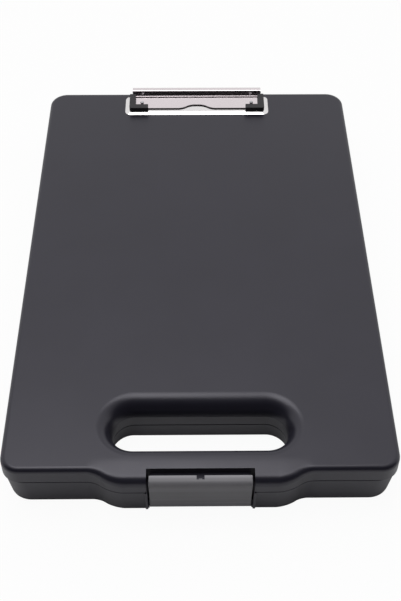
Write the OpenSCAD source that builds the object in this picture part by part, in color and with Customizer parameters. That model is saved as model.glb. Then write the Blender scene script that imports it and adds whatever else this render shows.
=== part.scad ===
// Storage clipboard box: a shallow case whose lid is the writing board.
// +Z is up, +X is right and -Y is the handle end. The origin is the centre of the footprint, on the table.

/* [Case] */
// Width of the case
case_w = 254; // [220:1:320]
// Length of the lid from its rear wall to its plain front wall
case_l = 384; // [330:1:460]
// Height of the closed case, without the clip
case_h = 40; // [37:0.5:52]
// Height of the lid's lower edge
seam_h = 27; // [22:0.5:28]
// Gap between the base's rim and the lid's lower edge
seam_gap = 0.4; // [0.3:0.1:0.8]
// Plan radius of the rear corners
rear_corner_r = 14; // [10:0.5:24]
// Plan radius of the front corners
front_corner_r = 12.5; // [10:0.5:24]

/* [Lid] */
// Wall and top plate of the lid
lid_wall = 2.4; // [1.8:0.1:2.8]
// How far the lid's skirt leans in from its lower edge to the top
lid_draft = 0.2; // [0:0.1:1.2]
// Radius of the lid's top edge
top_edge_r = 3.6; // [3:0.1:5]
// How far the softer top edge over the handle reaches in
handle_edge_in = 6.1; // [4:0.1:8]
// Height of the plain lip under the softer edge over the handle
handle_lip = 5.2; // [0.6:0.1:8]

/* [Base] */
// Wall of the base at its rim
base_wall = 3; // [2.4:0.1:4]
// Floor of the base
base_floor = 2.4; // [1.8:0.1:4]
// How far the base's rim stands inside the lid's outer face
base_inset = 1.5; // [0.6:0.1:2]
// Draft of the base's wall from rim to floor
base_draft = 1.2; // [0:0.1:2]
// Draft of the base's wall under the handle
handle_draft = 2.5; // [0:0.1:4]
// Radius of the base's lower edge
foot_edge_r = 3; // [1:0.1:4]
// How much rounder the base's corners are in plan than the lid's
base_corner_more = 2.5; // [0:0.5:3]
// How far the base's tongue rises inside the lid
tongue_h = 3; // [2:0.5:5]
// Gap between the tongue and the lid's wall
tongue_gap = 0.4; // [0.3:0.1:0.8]
// Height of the divider between the paper tray and the handle
divider_h = 18; // [8:1:20]
// Thickness of the divider
divider_t = 2; // [1.2:0.1:3]
// Space between the handle opening's wall and the divider
divider_gap = 13; // [8:1:20]

/* [Handle] */
// How far the handle stands out of the plain front wall
bulge_depth = 8; // [4:0.5:12]
// Half of the straight front of the handle
bulge_half_w = 48.5; // [43:0.5:56]
// Radius of the handle's outer bends
bulge_outer_r = 24; // [16:1:30]
// Radius of the bends where the handle leaves the front wall
bulge_inner_r = 14.5; // [8:0.5:20]
// Length of the hand opening
opening_w = 115.2; // [104:0.1:130]
// Depth of the hand opening
opening_d = 31; // [26:0.5:36]
// Distance from the plain front wall to the hand opening
opening_front = 19.4; // [18:0.1:26]
// How far the flare round the opening's upper rim reaches out
flare_out = 11; // [5:0.1:12]
// How far the flare round the opening's upper rim reaches down
flare_down = 13.5; // [5:0.1:14]
// Height of the seam between the lid's and the base's walls round the opening
opening_seam_h = 16; // [10:0.5:20]
// How much wider the opening is on each side at the floor than at that seam
opening_draft = 2.3; // [0:0.1:4]
// Radius of the flare round the opening's lower rim
foot_flare_r = 3; // [1.5:0.5:5]

/* [Latch] */
// Width of the latch
latch_w = 65; // [50:1:72]
// Thickness of the latch's plate
latch_t = 3.2; // [2.6:0.1:3.4]
// How far the latch's face stands out of the handle
latch_proud = 0.8; // [0:0.1:1.5]
// Distance from the case's top down to the latch's top
latch_drop = 2; // [1.5:0.5:6]
// Radius of the latch's upper lip
latch_lip_r = 2; // [1.5:0.1:4]
// Reach of the latch's hook behind its face
hook_reach = 6.8; // [6.4:0.1:8.4]
// Thickness of the latch's hook
hook_t = 3; // [2:0.1:3.5]
// Distance from the handle's face back to the lid's latch recess wall
recess_d = 10; // [9.5:0.1:11]
// Distance from the latch's face back to its pin
latch_pin_in = 4.4; // [3.8:0.1:4.8]
// Height of the latch pin above the table
latch_pin_h = 8.6; // [6:0.1:10]
// Diameter of the latch pin
latch_pin_d = 2.5; // [1.6:0.1:2.8]
// Radius of the latch's barrel
barrel_r = 2.6; // [2.2:0.1:2.9]
// Space between the latch's barrel and the wall behind it
barrel_room = 1.8; // [0.6:0.1:3]
// Gap between the latch and each of the base's ears
latch_gap = 1.1; // [0.3:0.1:1.5]
// How much wider the lid's recess is on each side than the room between the ears
recess_more = 0.5; // [0:0.1:1]
// Width of each ear that carries the latch pin
ear_w = 1.6; // [1:0.1:2.5]
// Distance from the latch's face back to the ears' front
ear_in = 0.1; // [0:0.1:1]
// Radius of the ears' lower end
ear_r = 3.2; // [2.6:0.1:3.6]
// Gap between the latch's end and the boss round the pin on each ear
boss_gap = 0.2; // [0.1:0.05:0.3]
// Gap between the hook and the lid's catch
catch_gap = 0.4; // [0.3:0.1:0.6]
// Height of the lid's catch
catch_t = 3; // [2:0.1:3.5]
// Space between each end of the catch and the side of the recess
catch_in = 2; // [1:0.5:8]
// Width of the notch in the latch's lip
notch_w = 4.6; // [3:0.1:8]
// Depth of the notch in the latch's lip
notch_d = 3.2; // [2:0.1:4]
// Width of the locating rib that stands in the notch
rib_w = 1.8; // [1:0.1:2]

/* [Hinge] */
// Distance from the case's side to the middle of each hinge
hinge_inset = 49; // [40:1:70]
// Distance of the hinge axis behind the lid's rear wall
hinge_out = 2.8; // [2.6:0.1:3.6]
// Radius of the knuckles
knuckle_r = 3.2; // [2.6:0.1:4]
// Diameter of the hinge pins
hinge_pin_d = 2.5; // [1.6:0.1:3]
// Length of the lid's knuckle
lid_knuckle_l = 16; // [8:1:24]
// Length of each of the base's two knuckles
base_knuckle_l = 10; // [5:1:14]
// Gap between two knuckles
knuckle_gap = 0.4; // [0.3:0.1:1]
// Height of a knuckle's web along its wall
web_h = 9; // [6:0.5:10]

/* [Clip] */
// Width of the clip's base plate
clip_w = 123; // [100:1:150]
// Depth of the clip's base plate
clip_d = 24.9; // [23:0.1:30]
// Height of the base plate's pan
clip_pan_h = 1.4; // [1.2:0.1:1.8]
// Width of the pan's sloping edge
clip_slope = 3; // [2:0.1:4]
// Sheet thickness of the pan
pan_t = 0.8; // [0.6:0.1:1]
// Distance from the lid's rear wall to the base plate
clip_setback = 5.7; // [5:0.1:12]
// Sheet thickness of the jaw
jaw_t = 0.9; // [0.7:0.1:1.2]
// Distance from each side of the base plate to the jaw
jaw_side = 6.1; // [4:0.1:14]
// Height of the jaw's plate above the lid
jaw_h = 3.2; // [3:0.1:3.6]
// Height of the jaw's lever above the lid
lever_h = 7.8; // [6.9:0.1:8.4]
// Distance from the base plate's front edge to the jaw's front edge
jaw_setback = 6; // [5:0.1:7]
// Distance from the rod forward to the foot of the lever
lever_in = 4.3; // [4.2:0.1:5]
// Width of the finger notch
finger_w = 32; // [20:1:44]
// Depth of the finger notch
finger_d = 4.8; // [3:0.1:6]
// Diameter of the pivot rod
rod_d = 2; // [1.6:0.1:2.4]
// Height of the pivot rod above the lid
rod_h = 3.9; // [3.8:0.1:4.1]
// Distance of the rod behind the base plate's rear edge
rod_out = 1; // [0.6:0.1:1.4]
// Material round the rod in the jaw's cheeks
cheek_rim = 1.2; // [0.8:0.1:1.4]
// Material round the rod in the base plate's ears
rod_ear_rim = 1; // [0.7:0.1:1.1]
// Gap between an ear of the base plate and the jaw's cheek
cheek_gap = 0.5; // [0.3:0.1:2]
// How far the rod stands out past each cheek
rod_over = 0.4; // [0.2:0.1:1]
// Radial running clearance of every pin and rod
pin_clearance = 0.05; // [0.02:0.01:0.09]
// Diameter of the rivets' shanks
rivet_d = 3.2; // [2.4:0.1:4]
// Distance of each rivet from the middle
rivet_x = 30; // [14:1:38]
// Distance from the base plate's front edge to its rivets
rivet_setback = 11.7; // [9:0.1:13]
// Width of the rivets' heads round their shanks
rivet_rim = 1.3; // [1:0.1:1.6]
// Depth of the dimple in the base plate that takes each rivet's head
rivet_sink = 0.7; // [0.5:0.1:0.9]
// Outer diameter of the rivets' washers
washer_d = 9; // [7:0.5:12]
// Thickness of the rivets' washers
washer_t = 0.8; // [0.5:0.1:1.2]

/* [Clip grips] */
// Length of a grip along the jaw's front
grip_l = 16; // [10:0.5:20]
// Width of a grip's foot and arm
grip_w = 5.2; // [4:0.1:6]
// How far a grip stands out past the jaw's side
grip_wrap = 2.4; // [1.5:0.1:3]
// How far a grip stands out past the jaw's front
grip_over = 3.8; // [1:0.1:4.4]
// Gap between a grip and the base plate
grip_gap = 0.3; // [0.3:0.1:0.5]
// Thickness of a grip above the jaw
grip_top = 2.4; // [0.8:0.1:3]
// Depth of the pad under the jaw
grip_pad_d = 12; // [8:0.5:12.5]
// Diameter of the rivets that hold the grips
grip_rivet_d = 1.8; // [1.2:0.1:2]
// Distance from the pad's rear edge to its rivet
grip_rivet_in = 5; // [3:0.5:7]

/* [Clip springs] */
// Wire diameter of the springs
wire_d = 0.7; // [0.5:0.1:0.8]
// Mean diameter of a spring's coil
coil_d = 3.3; // [3.1:0.1:3.4]
// Turns of a spring's coil
coil_turns = 6; // [3:1:9]
// Distance of a spring's inner end from the middle
coil_x = 14; // [8:1:30]
// Length of the leg that lies on the base plate
leg_l = 4.1; // [3:0.1:4.2]

/* [Hidden] */
$fn = 48;

corner_steps = 10;
bend_steps = 5;
fillet_steps = 5;
eps = 0.01;
cut = 1;
root = 1;

// Places along the case
front_reach = bulge_depth + latch_proud;
rear_reach = hinge_out + knuckle_r;
y_rear = (case_l + front_reach + rear_reach) / 2 - rear_reach;
y_front = y_rear - case_l;
y_bulge = y_front - bulge_depth;
rim_z = seam_h - seam_gap;
tongue_z = seam_h + tongue_h;
handle_edge_down = case_h - seam_h - handle_lip;

// Hand opening
opening_r = opening_d / 2;
opening_y = y_front + opening_front + opening_r;
opening_half = opening_w / 2 - opening_r;
opening_rim_z = opening_seam_h - seam_gap;

// Latch
latch_face_y = y_bulge - latch_proud;
latch_y = latch_face_y + latch_pin_in;
latch_z = latch_pin_h;
latch_top_z = case_h - latch_drop;
recess_y = y_bulge + recess_d;
recess_half = latch_w / 2 + latch_gap;
lid_recess_half = recess_half + recess_more;
ear_outer_x = recess_half + ear_w;
catch_top_z = latch_top_z - hook_t - catch_gap;
catch_front_y = latch_face_y + latch_t + catch_gap;
pocket_y = latch_y + barrel_r + barrel_room;
ear_front_y = latch_face_y + ear_in;
hook_tip_y = latch_face_y + hook_reach;

// Hinge
hinge_x = case_w / 2 - hinge_inset;
hinge_y = y_rear + hinge_out;
hinge_z = seam_h;
hinge_l = lid_knuckle_l + 2 * (knuckle_gap + base_knuckle_l);
base_knuckle_x = (lid_knuckle_l + base_knuckle_l) / 2 + knuckle_gap;

// Clip
clip_back = y_rear - clip_setback;
clip_front = clip_back - clip_d;
pan_z = case_h + clip_pan_h;
jaw_front = clip_front + jaw_setback;
jaw_z = case_h + jaw_h;
lever_z = case_h + lever_h;
rod_y = clip_back + rod_out;
rod_z = case_h + rod_h;
rivet_y = clip_front + rivet_setback;
rivet_head_r = rivet_d / 2 + rivet_rim;
dimple_r = rivet_head_r + 0.3;
jaw_w = clip_w - 2 * jaw_side;
grip_front = jaw_front - grip_over;
grip_out_x = jaw_w / 2 + grip_wrap;
grip_in_x = grip_out_x - grip_l;
grip_bottom = pan_z + grip_gap;
grip_rivet_x = grip_in_x + grip_l / 3;
grip_rivet_y = jaw_front + grip_pad_d - grip_rivet_in;
rod_ear_x = jaw_w / 2 - jaw_t - cheek_gap - pan_t;
rod_l = jaw_w + 2 * rod_over;
lever_tilt = 80;
tail_tilt = 55;
leg_tilt = 7;

function mix(a, b, s) = a + (b - a) * s;

// Stations round a plan outline: each is a point, its inward normal and its share of the handle, 0 to 1.
// side is -1 where the arc's centre is inside the outline and 1 where it is outside.
function arc(c, r, a0, a1, n, side = -1, s0 = 0, s1 = 0, first = 0) = [
    for (i = [first:n])
        let (a = mix(a0, a1, i / n), d = [cos(a), sin(a)])
            [c + r * d, side * d, mix(s0, s1, i / n)]
];

// How far the lid's skirt stands inside its lower edge at a height
function lid_lean(z) = lid_draft * max(z - seam_h, 0) / (case_h - seam_h);

// The case's outer outline, anticlockwise from the rear right corner, with the handle's bulge in front.
// more is what the plan radii of the four corners gain.
function case_outline(more = 0) =
    let (
        x = case_w / 2,
        rr = rear_corner_r + more,
        fr = front_corner_r + more,
        bend = acos(1 - bulge_depth / (bulge_outer_r + bulge_inner_r)),
        inner_x = bulge_half_w + (bulge_outer_r + bulge_inner_r) * sin(bend),
        inner_y = y_front - bulge_inner_r,
        outer_y = y_bulge + bulge_outer_r
    )
    concat(
        arc([x - rr, y_rear - rr], rr, 0, 90, corner_steps),
        arc([rr - x, y_rear - rr], rr, 90, 180, corner_steps),
        arc([fr - x, y_front + fr], fr, 180, 270, corner_steps),
        arc([-inner_x, inner_y], bulge_inner_r, 90, 90 - bend, bend_steps, 1, 0, 0.5),
        arc([-bulge_half_w, outer_y], bulge_outer_r, -90 - bend, -90, bend_steps, -1, 0.5, 1, 1),
        arc([bulge_half_w, outer_y], bulge_outer_r, -90, -90 + bend, bend_steps, -1, 1, 0.5),
        arc([inner_x, inner_y], bulge_inner_r, 90 + bend, 90, bend_steps, 1, 0.5, 0, 1),
        arc([x - fr, y_front + fr], fr, -90, 0, corner_steps)
    );

// The hand opening's outline, with normals that point out of the opening
function opening_outline() = concat(
    arc([opening_half, opening_y], opening_r, -90, 90, 2 * corner_steps, 1),
    arc([-opening_half, opening_y], opening_r, 90, 270, 2 * corner_steps, 1)
);

// A rectangle with round corners, from its width, front, back and corner radius
function plate_outline(w, front, back, r) = concat(
    arc([w / 2 - r, back - r], r, 0, 90, 4),
    arc([r - w / 2, back - r], r, 90, 180, 4),
    arc([r - w / 2, front + r], r, 180, 270, 4),
    arc([w / 2 - r, front + r], r, 270, 360, 4)
);

function ring(outline, offset, z) = [for (s = outline) [each s[0] + offset * s[1], z]];

// A ring of the lid's rounded edge, which starts at a depth of down below z and ends reach further in, at z
function edge_ring(outline, offset, z, reach, down, a) = [
    for (s = outline)
        let (
            r_in = mix(reach[0], reach[1], s[2]),
            r_down = mix(down[0], down[1], s[2]),
            high = z - r_down * (1 - sin(a))
        )
        [each s[0] + (offset + lid_lean(high) + r_in * (1 - cos(a))) * s[1], high]
];

function centre(ring) = [for (k = [0:2]) [for (p = ring) 1] * [for (p = ring) p[k]] / len(ring)];

// A solid through a stack of rings, each anticlockwise, from the lowest to the highest
module loft(rings) {
    n = len(rings[0]);
    last = len(rings) - 1;
    points = concat([for (r = rings) each r], [centre(rings[0]), centre(rings[last])]);
    low = len(points) - 2;
    high = len(points) - 1;
    sides = [
        for (k = [0:last - 1])
            for (i = [0:n - 1])
                let (j = (i + 1) % n, a = k * n, b = a + n)
                    each [[a + i, b + i, b + j], [a + i, b + j, a + j]]
    ];
    caps = [
        for (i = [0:n - 1])
            let (j = (i + 1) % n, b = last * n)
                each [[low, i, j], [high, b + j, b + i]]
    ];
    polyhedron(points = points, faces = concat(sides, caps));
}

module along_x(length, x = 0) {
    translate([x, 0, 0])
        rotate([90, 0, 90])
            linear_extrude(height = length, center = true)
                children();
}

module rod(r, length, x, y, z) {
    translate([x, y, z])
        rotate([0, 90, 0])
            cylinder(r = r, h = length, center = true);
}

// A box from its lowest to its highest corner
module block(low, high) {
    translate(low)
        cube(high - low);
}

module right_and_left() {
    children();
    mirror([1, 0, 0])
        children();
}

// ---- Shells ----

// Base wall's distance inside the lid's outer face: the draft grows towards the floor
function wall_ring(z, extra, zr) = [
    for (s = case_outline(base_corner_more))
        let (draft = mix(base_draft, handle_draft, s[2]) * (1 - min(zr, rim_z) / rim_z))
            [each s[0] + (base_inset + draft + extra) * s[1], z]
];

module base_outer() {
    foot = [
        for (i = [0:fillet_steps])
            let (a = 90 * i / fillet_steps, z = foot_edge_r * (1 - cos(a)))
                wall_ring(z, foot_edge_r * (1 - sin(a)), foot_edge_r)
    ];
    loft(concat(foot, [wall_ring(rim_z, 0, rim_z)]));
}

module base_cavity() {
    round = 2;
    floor_rings = [
        for (i = [0:2])
            let (a = 45 * i)
                wall_ring(base_floor + round * (1 - cos(a)), base_wall + round * (1 - sin(a)), base_floor + round)
    ];
    loft(concat(floor_rings, [wall_ring(rim_z, base_wall, rim_z), wall_ring(tongue_z + cut, base_wall, rim_z)]));
}

// The opening's walls, the opening itself and its flares, each as a loft round the opening's outline
module lid_tube() {
    o = opening_outline();
    loft([ring(o, lid_wall, opening_seam_h), ring(o, lid_wall, case_h - lid_wall)]);
}

module base_tube() {
    o = opening_outline();
    loft([ring(o, lid_wall + opening_draft, -cut), ring(o, lid_wall, opening_rim_z)]);
}

module flare_wall() {
    o = opening_outline();
    steepest = 78;
    r_out = flare_out - lid_wall;
    r_down = flare_down - lid_wall;
    flare = [
        for (i = [0:fillet_steps])
            let (a = steepest * i / fillet_steps)
                ring(o, flare_out - r_out * cos(a), case_h - flare_down + r_down * sin(a))
    ];
    loft(concat(
        [ring(o, lid_wall, opening_seam_h)],
        flare,
        [ring(o, flare_out - r_out * cos(steepest), case_h - lid_wall / 2)]
    ));
}

module lid_opening_cut() {
    o = opening_outline();
    flare = [
        for (i = [0:fillet_steps])
            let (a = 90 * i / fillet_steps)
                ring(o, flare_out * (1 - cos(a)), case_h - flare_down * (1 - sin(a)))
    ];
    loft(concat([ring(o, 0, opening_seam_h - cut)], flare, [ring(o, flare_out, case_h + cut)]));
}

module base_opening_cut() {
    o = opening_outline();
    flare = [
        for (i = [0:fillet_steps])
            let (a = 90 * i / fillet_steps)
                ring(o, opening_draft + foot_flare_r * (1 - sin(a)), foot_flare_r * (1 - cos(a)))
    ];
    loft(concat(
        [ring(o, opening_draft + foot_flare_r, -cut)],
        flare,
        [ring(o, 0, opening_rim_z), ring(o, 0, tongue_z + cut)]
    ));
}

// A knuckle at x with its web: dir is 1 for a web that rises along the lid and -1 for one that falls along the base
module knuckle(x, length, wall_y, dir) {
    lean = 35;
    rod(knuckle_r, length, x, hinge_y, hinge_z);
    along_x(length, x)
        polygon([
            [wall_y, hinge_z + dir * (dir > 0 ? eps : seam_gap)],
            [hinge_y, hinge_z],
            [hinge_y + knuckle_r * cos(lean), hinge_z + dir * knuckle_r * sin(lean)],
            [wall_y, hinge_z + dir * web_h]
        ]);
}

module pin_bore(r) {
    right_and_left()
        rod(r, hinge_l + cut, hinge_x, hinge_y, hinge_z);
}

module base_shell() {
    color([0.20, 0.20, 0.22])
    difference() {
        union() {
            difference() {
                union() {
                    base_outer();
                    tongue();
                }
                difference() {
                    base_cavity();
                    base_tube();
                    block(
                        [-ear_outer_x - base_wall, y_bulge - cut, -cut],
                        [ear_outer_x + base_wall, pocket_y + base_wall, rim_z]
                    );
                    base_divider();
                }
                base_opening_cut();
                latch_pocket();
            }
            right_and_left()
                latch_ear();
            right_and_left()
                for (side = [-1, 1])
                    knuckle(hinge_x + side * base_knuckle_x, base_knuckle_l, y_rear - base_inset - root, -1);
        }
        rod(latch_pin_d / 2, 2 * ear_outer_x + cut, 0, latch_y, latch_z);
        pin_bore(hinge_pin_d / 2);
    }
}

// The rim's raised inner part, which stands inside the lid's skirt
module tongue() {
    inside = lid_wall + lid_lean(tongue_z) + tongue_gap;
    loft([
        ring(case_outline(), inside, rim_z - 2 * tongue_h),
        ring(case_outline(), inside, tongue_z)
    ]);
}

module base_divider() {
    y = opening_y + opening_r + lid_wall + divider_gap;
    block([-case_w / 2, y, 0], [case_w / 2, y + divider_t, base_floor + divider_h]);
}

// Room in the base's front for the latch, and in its tongue for the lid's recess walls
module latch_pocket() {
    block([-recess_half, y_bulge - 4 * cut, -cut], [recess_half, pocket_y, tongue_z + cut]);
    block(
        [-lid_recess_half - lid_wall - tongue_gap, y_bulge - cut, rim_z],
        [lid_recess_half + lid_wall + tongue_gap, recess_y + lid_wall + tongue_gap, tongue_z + cut]
    );
}

// A rib beside the latch with a round lower end and a boss: it carries one end of the latch pin
module latch_ear() {
    along_x(ear_w, (recess_half + ear_outer_x) / 2)
        polygon(concat(
            [
                for (i = [0:8])
                    let (a = 180 + 90 * i / 8)
                        [ear_front_y + ear_r * (1 + cos(a)), latch_z + ear_r * sin(a)]
            ],
            [[pocket_y + cut, latch_z - ear_r], [pocket_y + cut, rim_z], [ear_front_y, rim_z]]
        ));
    rod(
        ear_r, latch_gap - boss_gap + eps,
        (latch_w / 2 + boss_gap + recess_half + eps) / 2, latch_y, latch_z
    );
}

module lid_outer() {
    o = case_outline();
    reach = [top_edge_r, handle_edge_in];
    down = [top_edge_r, handle_edge_down];
    edge = [
        for (i = [0:fillet_steps])
            edge_ring(o, 0, case_h, reach, down, 90 * i / fillet_steps)
    ];
    loft(concat([ring(o, 0, seam_h)], edge));
}

module lid_cavity() {
    o = case_outline();
    top = case_h - lid_wall;
    reach = [max(top_edge_r - lid_wall, 0.6), handle_edge_in - lid_wall];
    down = [max(top_edge_r - lid_wall, 0.6), handle_edge_down - lid_wall];
    edge = [
        for (i = [0:2])
            edge_ring(o, lid_wall, top, reach, down, 45 * i)
    ];
    loft(concat([ring(o, lid_wall, seam_h - cut)], edge));
}

module lid_shell() {
    color([0.24, 0.24, 0.26])
    difference() {
        union() {
            difference() {
                lid_outer();
                difference() {
                    lid_cavity();
                    flare_wall();
                    block(
                        [-lid_recess_half - lid_wall, y_bulge - cut, seam_h - 2 * cut],
                        [lid_recess_half + lid_wall, recess_y + lid_wall, case_h - lid_wall / 2]
                    );
                }
                lid_opening_cut();
                block(
                    [-lid_recess_half, y_bulge - cut, seam_h - cut],
                    [lid_recess_half, recess_y, case_h + cut]
                );
                knuckle_notches();
            }
            difference() {
                lid_tube();
                lid_opening_cut();
            }
            latch_catch();
            right_and_left()
                knuckle(hinge_x, lid_knuckle_l, y_rear - lid_draft - root, 1);
        }
        pin_bore(hinge_pin_d / 2 + pin_clearance);
        rivet_holes(rivet_d / 2);
    }
}

// Room in the lid's skirt for the base's knuckles
module knuckle_notches() {
    right_and_left()
        for (side = [-1, 1])
            rod(
                knuckle_r + knuckle_gap, base_knuckle_l + 2 * knuckle_gap,
                hinge_x + side * base_knuckle_x, hinge_y, hinge_z
            );
}

// The ledge that the latch's hook holds, with the rib that stands in the latch's notch
module latch_catch() {
    slope = 0.6;
    along_x(2 * (recess_half - catch_in))
        polygon([
            [recess_y + cut, catch_top_z - slope],
            [catch_front_y, catch_top_z],
            [catch_front_y, catch_top_z - catch_t / 2],
            [catch_front_y + catch_t / 2, catch_top_z - catch_t],
            [recess_y + cut, catch_top_z - catch_t - slope]
        ]);
    block(
        [-rib_w / 2, hook_tip_y - notch_d / 2, catch_top_z - catch_t / 2],
        [rib_w / 2, recess_y + cut, latch_top_z - hook_t / 2]
    );
}

module rivet_holes(r) {
    right_and_left()
        translate([rivet_x, rivet_y, case_h - lid_wall - cut])
            cylinder(r = r, h = lid_wall + clip_pan_h + 2 * cut);
}

// ---- Latch ----

module latch_profile() {
    back = latch_face_y + latch_t;
    under = latch_top_z - hook_t;
    edge = 0.6;
    lip = [
        for (i = [0:6])
            let (a = 180 - 15 * i)
                [
                    latch_face_y + latch_lip_r * (1 + cos(a)),
                    latch_top_z - latch_lip_r * (1 - sin(a))
                ]
    ];
    polygon(concat(
        [[latch_y - barrel_r, latch_z]],
        lip,
        [
            [hook_tip_y - edge, latch_top_z],
            [hook_tip_y, latch_top_z - edge],
            [hook_tip_y, under],
            [back, under],
            [latch_y + barrel_r / 2, latch_z]
        ]
    ));
}

module latch() {
    color([0.34, 0.34, 0.36])
    difference() {
        union() {
            along_x(latch_w)
                latch_profile();
            rod(barrel_r, latch_w, 0, latch_y, latch_z);
        }
        rod(latch_pin_d / 2 + pin_clearance, latch_w + cut, 0, latch_y, latch_z);
        block(
            [-notch_w / 2, hook_tip_y - notch_d, latch_top_z - hook_t - cut],
            [notch_w / 2, hook_tip_y + cut, latch_top_z + cut]
        );
    }
}

module latch_pin() {
    color("silver")
        rod(latch_pin_d / 2, 2 * ear_outer_x, 0, latch_y, latch_z);
}

module hinge_pin() {
    color("silver")
        rod(hinge_pin_d / 2, hinge_l, hinge_x, hinge_y, hinge_z);
}

module hinge_pin_right() {
    hinge_pin();
}

module hinge_pin_left() {
    mirror([1, 0, 0])
        hinge_pin();
}

// ---- Clip ----

module clip_base_plate() {
    o = plate_outline(clip_w, clip_front, clip_back, 4.5);
    color([0.85, 0.83, 0.84])
    difference() {
        union() {
            difference() {
                loft([ring(o, 0, case_h), ring(o, clip_slope, pan_z)]);
                loft([
                    ring(o, pan_t * 1.6, case_h - cut),
                    ring(o, pan_t * 1.6, case_h),
                    ring(o, clip_slope + pan_t / 4, pan_z - pan_t)
                ]);
            }
            right_and_left() {
                translate([rivet_x, rivet_y, case_h])
                    cylinder(r = dimple_r + pan_t, h = clip_pan_h - pan_t / 2);
                rod_ear();
            }
        }
        right_and_left()
            translate([rivet_x, rivet_y, pan_z - rivet_sink])
                cylinder(r = dimple_r, h = rivet_sink + cut);
        rivet_holes(rivet_d / 2);
        rod(rod_d / 2, rod_l + cut, 0, rod_y, rod_z);
    }
}

// The upright ear that holds one end of the pivot rod, and its foot under the base plate's rear edge
module rod_ear() {
    r = rod_d / 2 + rod_ear_rim;
    foot_y = rod_y - lever_in + grip_gap;
    foot_z = pan_z + grip_gap / 2;
    rod(r, pan_t, rod_ear_x + pan_t / 2, rod_y, rod_z);
    block([rod_ear_x, foot_y, case_h], [rod_ear_x + pan_t, rod_y + r, foot_z]);
    block([rod_ear_x, rod_y - r, case_h], [rod_ear_x + pan_t, rod_y + r, rod_z]);
}

module clip_pivot_rod() {
    color("silver")
        rod(rod_d / 2, rod_l, 0, rod_y, rod_z);
}

module clip_rivets() {
    head_h = 0.9;
    seat_z = pan_z - rivet_sink;
    tail_z = case_h - lid_wall - washer_t;
    color("silver")
    right_and_left()
        translate([rivet_x, rivet_y, 0])
            rotate_extrude()
                polygon([
                    [0, tail_z - head_h],
                    [rivet_head_r - 0.8, tail_z - head_h],
                    [rivet_head_r - 0.4, tail_z],
                    [rivet_d / 2, tail_z],
                    [rivet_d / 2, seat_z],
                    [rivet_head_r, seat_z],
                    [rivet_head_r - 0.3, seat_z + head_h * 0.6],
                    [rivet_head_r - 1.4, seat_z + head_h],
                    [0, seat_z + head_h]
                ]);
}

module rivet_washers() {
    top = case_h - lid_wall;
    color("silver")
    right_and_left()
        difference() {
            translate([rivet_x, rivet_y, top - washer_t])
                cylinder(d = washer_d, h = washer_t);
            translate([rivet_x, rivet_y, top - washer_t - cut])
                cylinder(d = rivet_d, h = washer_t + 2 * cut);
        }
}

// Stations along the jaw's section, each a point on the sheet's middle and its left normal
function jaw_section() =
    let (
        mid = jaw_z - jaw_t / 2,
        top = lever_z - jaw_t / 2,
        root_r = 1.2,
        crown_r = 1,
        back_r = 1.6,
        tail_l = 3.4,
        root_y = rod_y - lever_in,
        rise = top - mid - (root_r + crown_r) * (1 - cos(lever_tilt)),
        crown_y = root_y + (root_r + crown_r) * sin(lever_tilt) + rise / tan(lever_tilt),
        back_y = rod_y + 0.6,
        tail = arc([back_y, top - back_r], back_r, 90, 90 - tail_tilt, 4, 1),
        end = tail[4]
    )
    concat(
        [[[jaw_front, mid], [0, 1]]],
        arc([root_y, mid + root_r], root_r, -90, -90 + lever_tilt, 6, -1),
        arc([crown_y, top - crown_r], crown_r, 90 + lever_tilt, 90, 4, 1),
        tail,
        [[end[0] + tail_l * [cos(tail_tilt), -sin(tail_tilt)], end[1]]]
    );

// The finger notch's outline: a flat top with sides that ease in and out
module finger_notch() {
    flat = finger_w / 7;
    steps = 10;
    side = [
        for (i = [0:steps])
            [
                mix(finger_w / 2, flat, i / steps),
                jaw_front + finger_d * (1 - cos(180 * i / steps)) / 2
            ]
    ];
    polygon(concat(
        [[finger_w / 2, jaw_front - cut]],
        side,
        [for (i = [steps:-1:0]) [-side[i][0], side[i][1]]],
        [[-finger_w / 2, jaw_front - cut]]
    ));
}

module clip_jaw() {
    s = jaw_section();
    n = len(s);
    cheek_r = rod_d / 2 + cheek_rim;
    color([0.85, 0.80, 0.82])
    difference() {
        union() {
            along_x(jaw_w)
                polygon(concat(
                    [for (i = [0:n - 1]) s[i][0] + jaw_t / 2 * s[i][1]],
                    [for (i = [n - 1:-1:0]) s[i][0] - jaw_t / 2 * s[i][1]]
                ));
            right_and_left() {
                rod(cheek_r, jaw_t, jaw_w / 2 - jaw_t / 2, rod_y, rod_z);
                block(
                    [jaw_w / 2 - jaw_t, rod_y - rod_d / 2, rod_z],
                    [jaw_w / 2, rod_y + rod_d / 2, lever_z - jaw_t / 2]
                );
            }
        }
        rod(rod_d / 2 + pin_clearance, jaw_w + cut, 0, rod_y, rod_z);
        translate([0, 0, jaw_z - jaw_t - cut])
            linear_extrude(height = jaw_t + 2 * cut)
                finger_notch();
        right_and_left()
            translate([grip_rivet_x, grip_rivet_y, jaw_z - jaw_t - cut])
                cylinder(d = grip_rivet_d, h = jaw_t + 2 * cut);
    }
}

// The right grip: an L over the jaw's corner and a pad under it
module clip_grip() {
    top = jaw_z + grip_top;
    under = jaw_z - jaw_t;
    arm_back = rod_y - lever_in;
    color([0.10, 0.10, 0.11])
    difference() {
        union() {
            block([grip_in_x, grip_front, grip_bottom], [grip_out_x, grip_front + grip_w, top]);
            block([grip_out_x - grip_w, grip_front, grip_bottom], [grip_out_x, arm_back, top]);
            block([grip_in_x, grip_front, grip_bottom], [grip_out_x, jaw_front + grip_pad_d, under]);
        }
        block([grip_in_x - cut, jaw_front, under], [jaw_w / 2, rod_y, jaw_z]);
        translate([grip_out_x, grip_front, 0])
            rotate([0, 0, 45])
                cube([3, 3, 4 * case_h], center = true);
        translate([grip_rivet_x, grip_rivet_y, case_h])
            cylinder(d = grip_rivet_d, h = jaw_h);
    }
}

module clip_grip_right() {
    clip_grip();
}

module clip_grip_left() {
    mirror([1, 0, 0])
        clip_grip();
}

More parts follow.
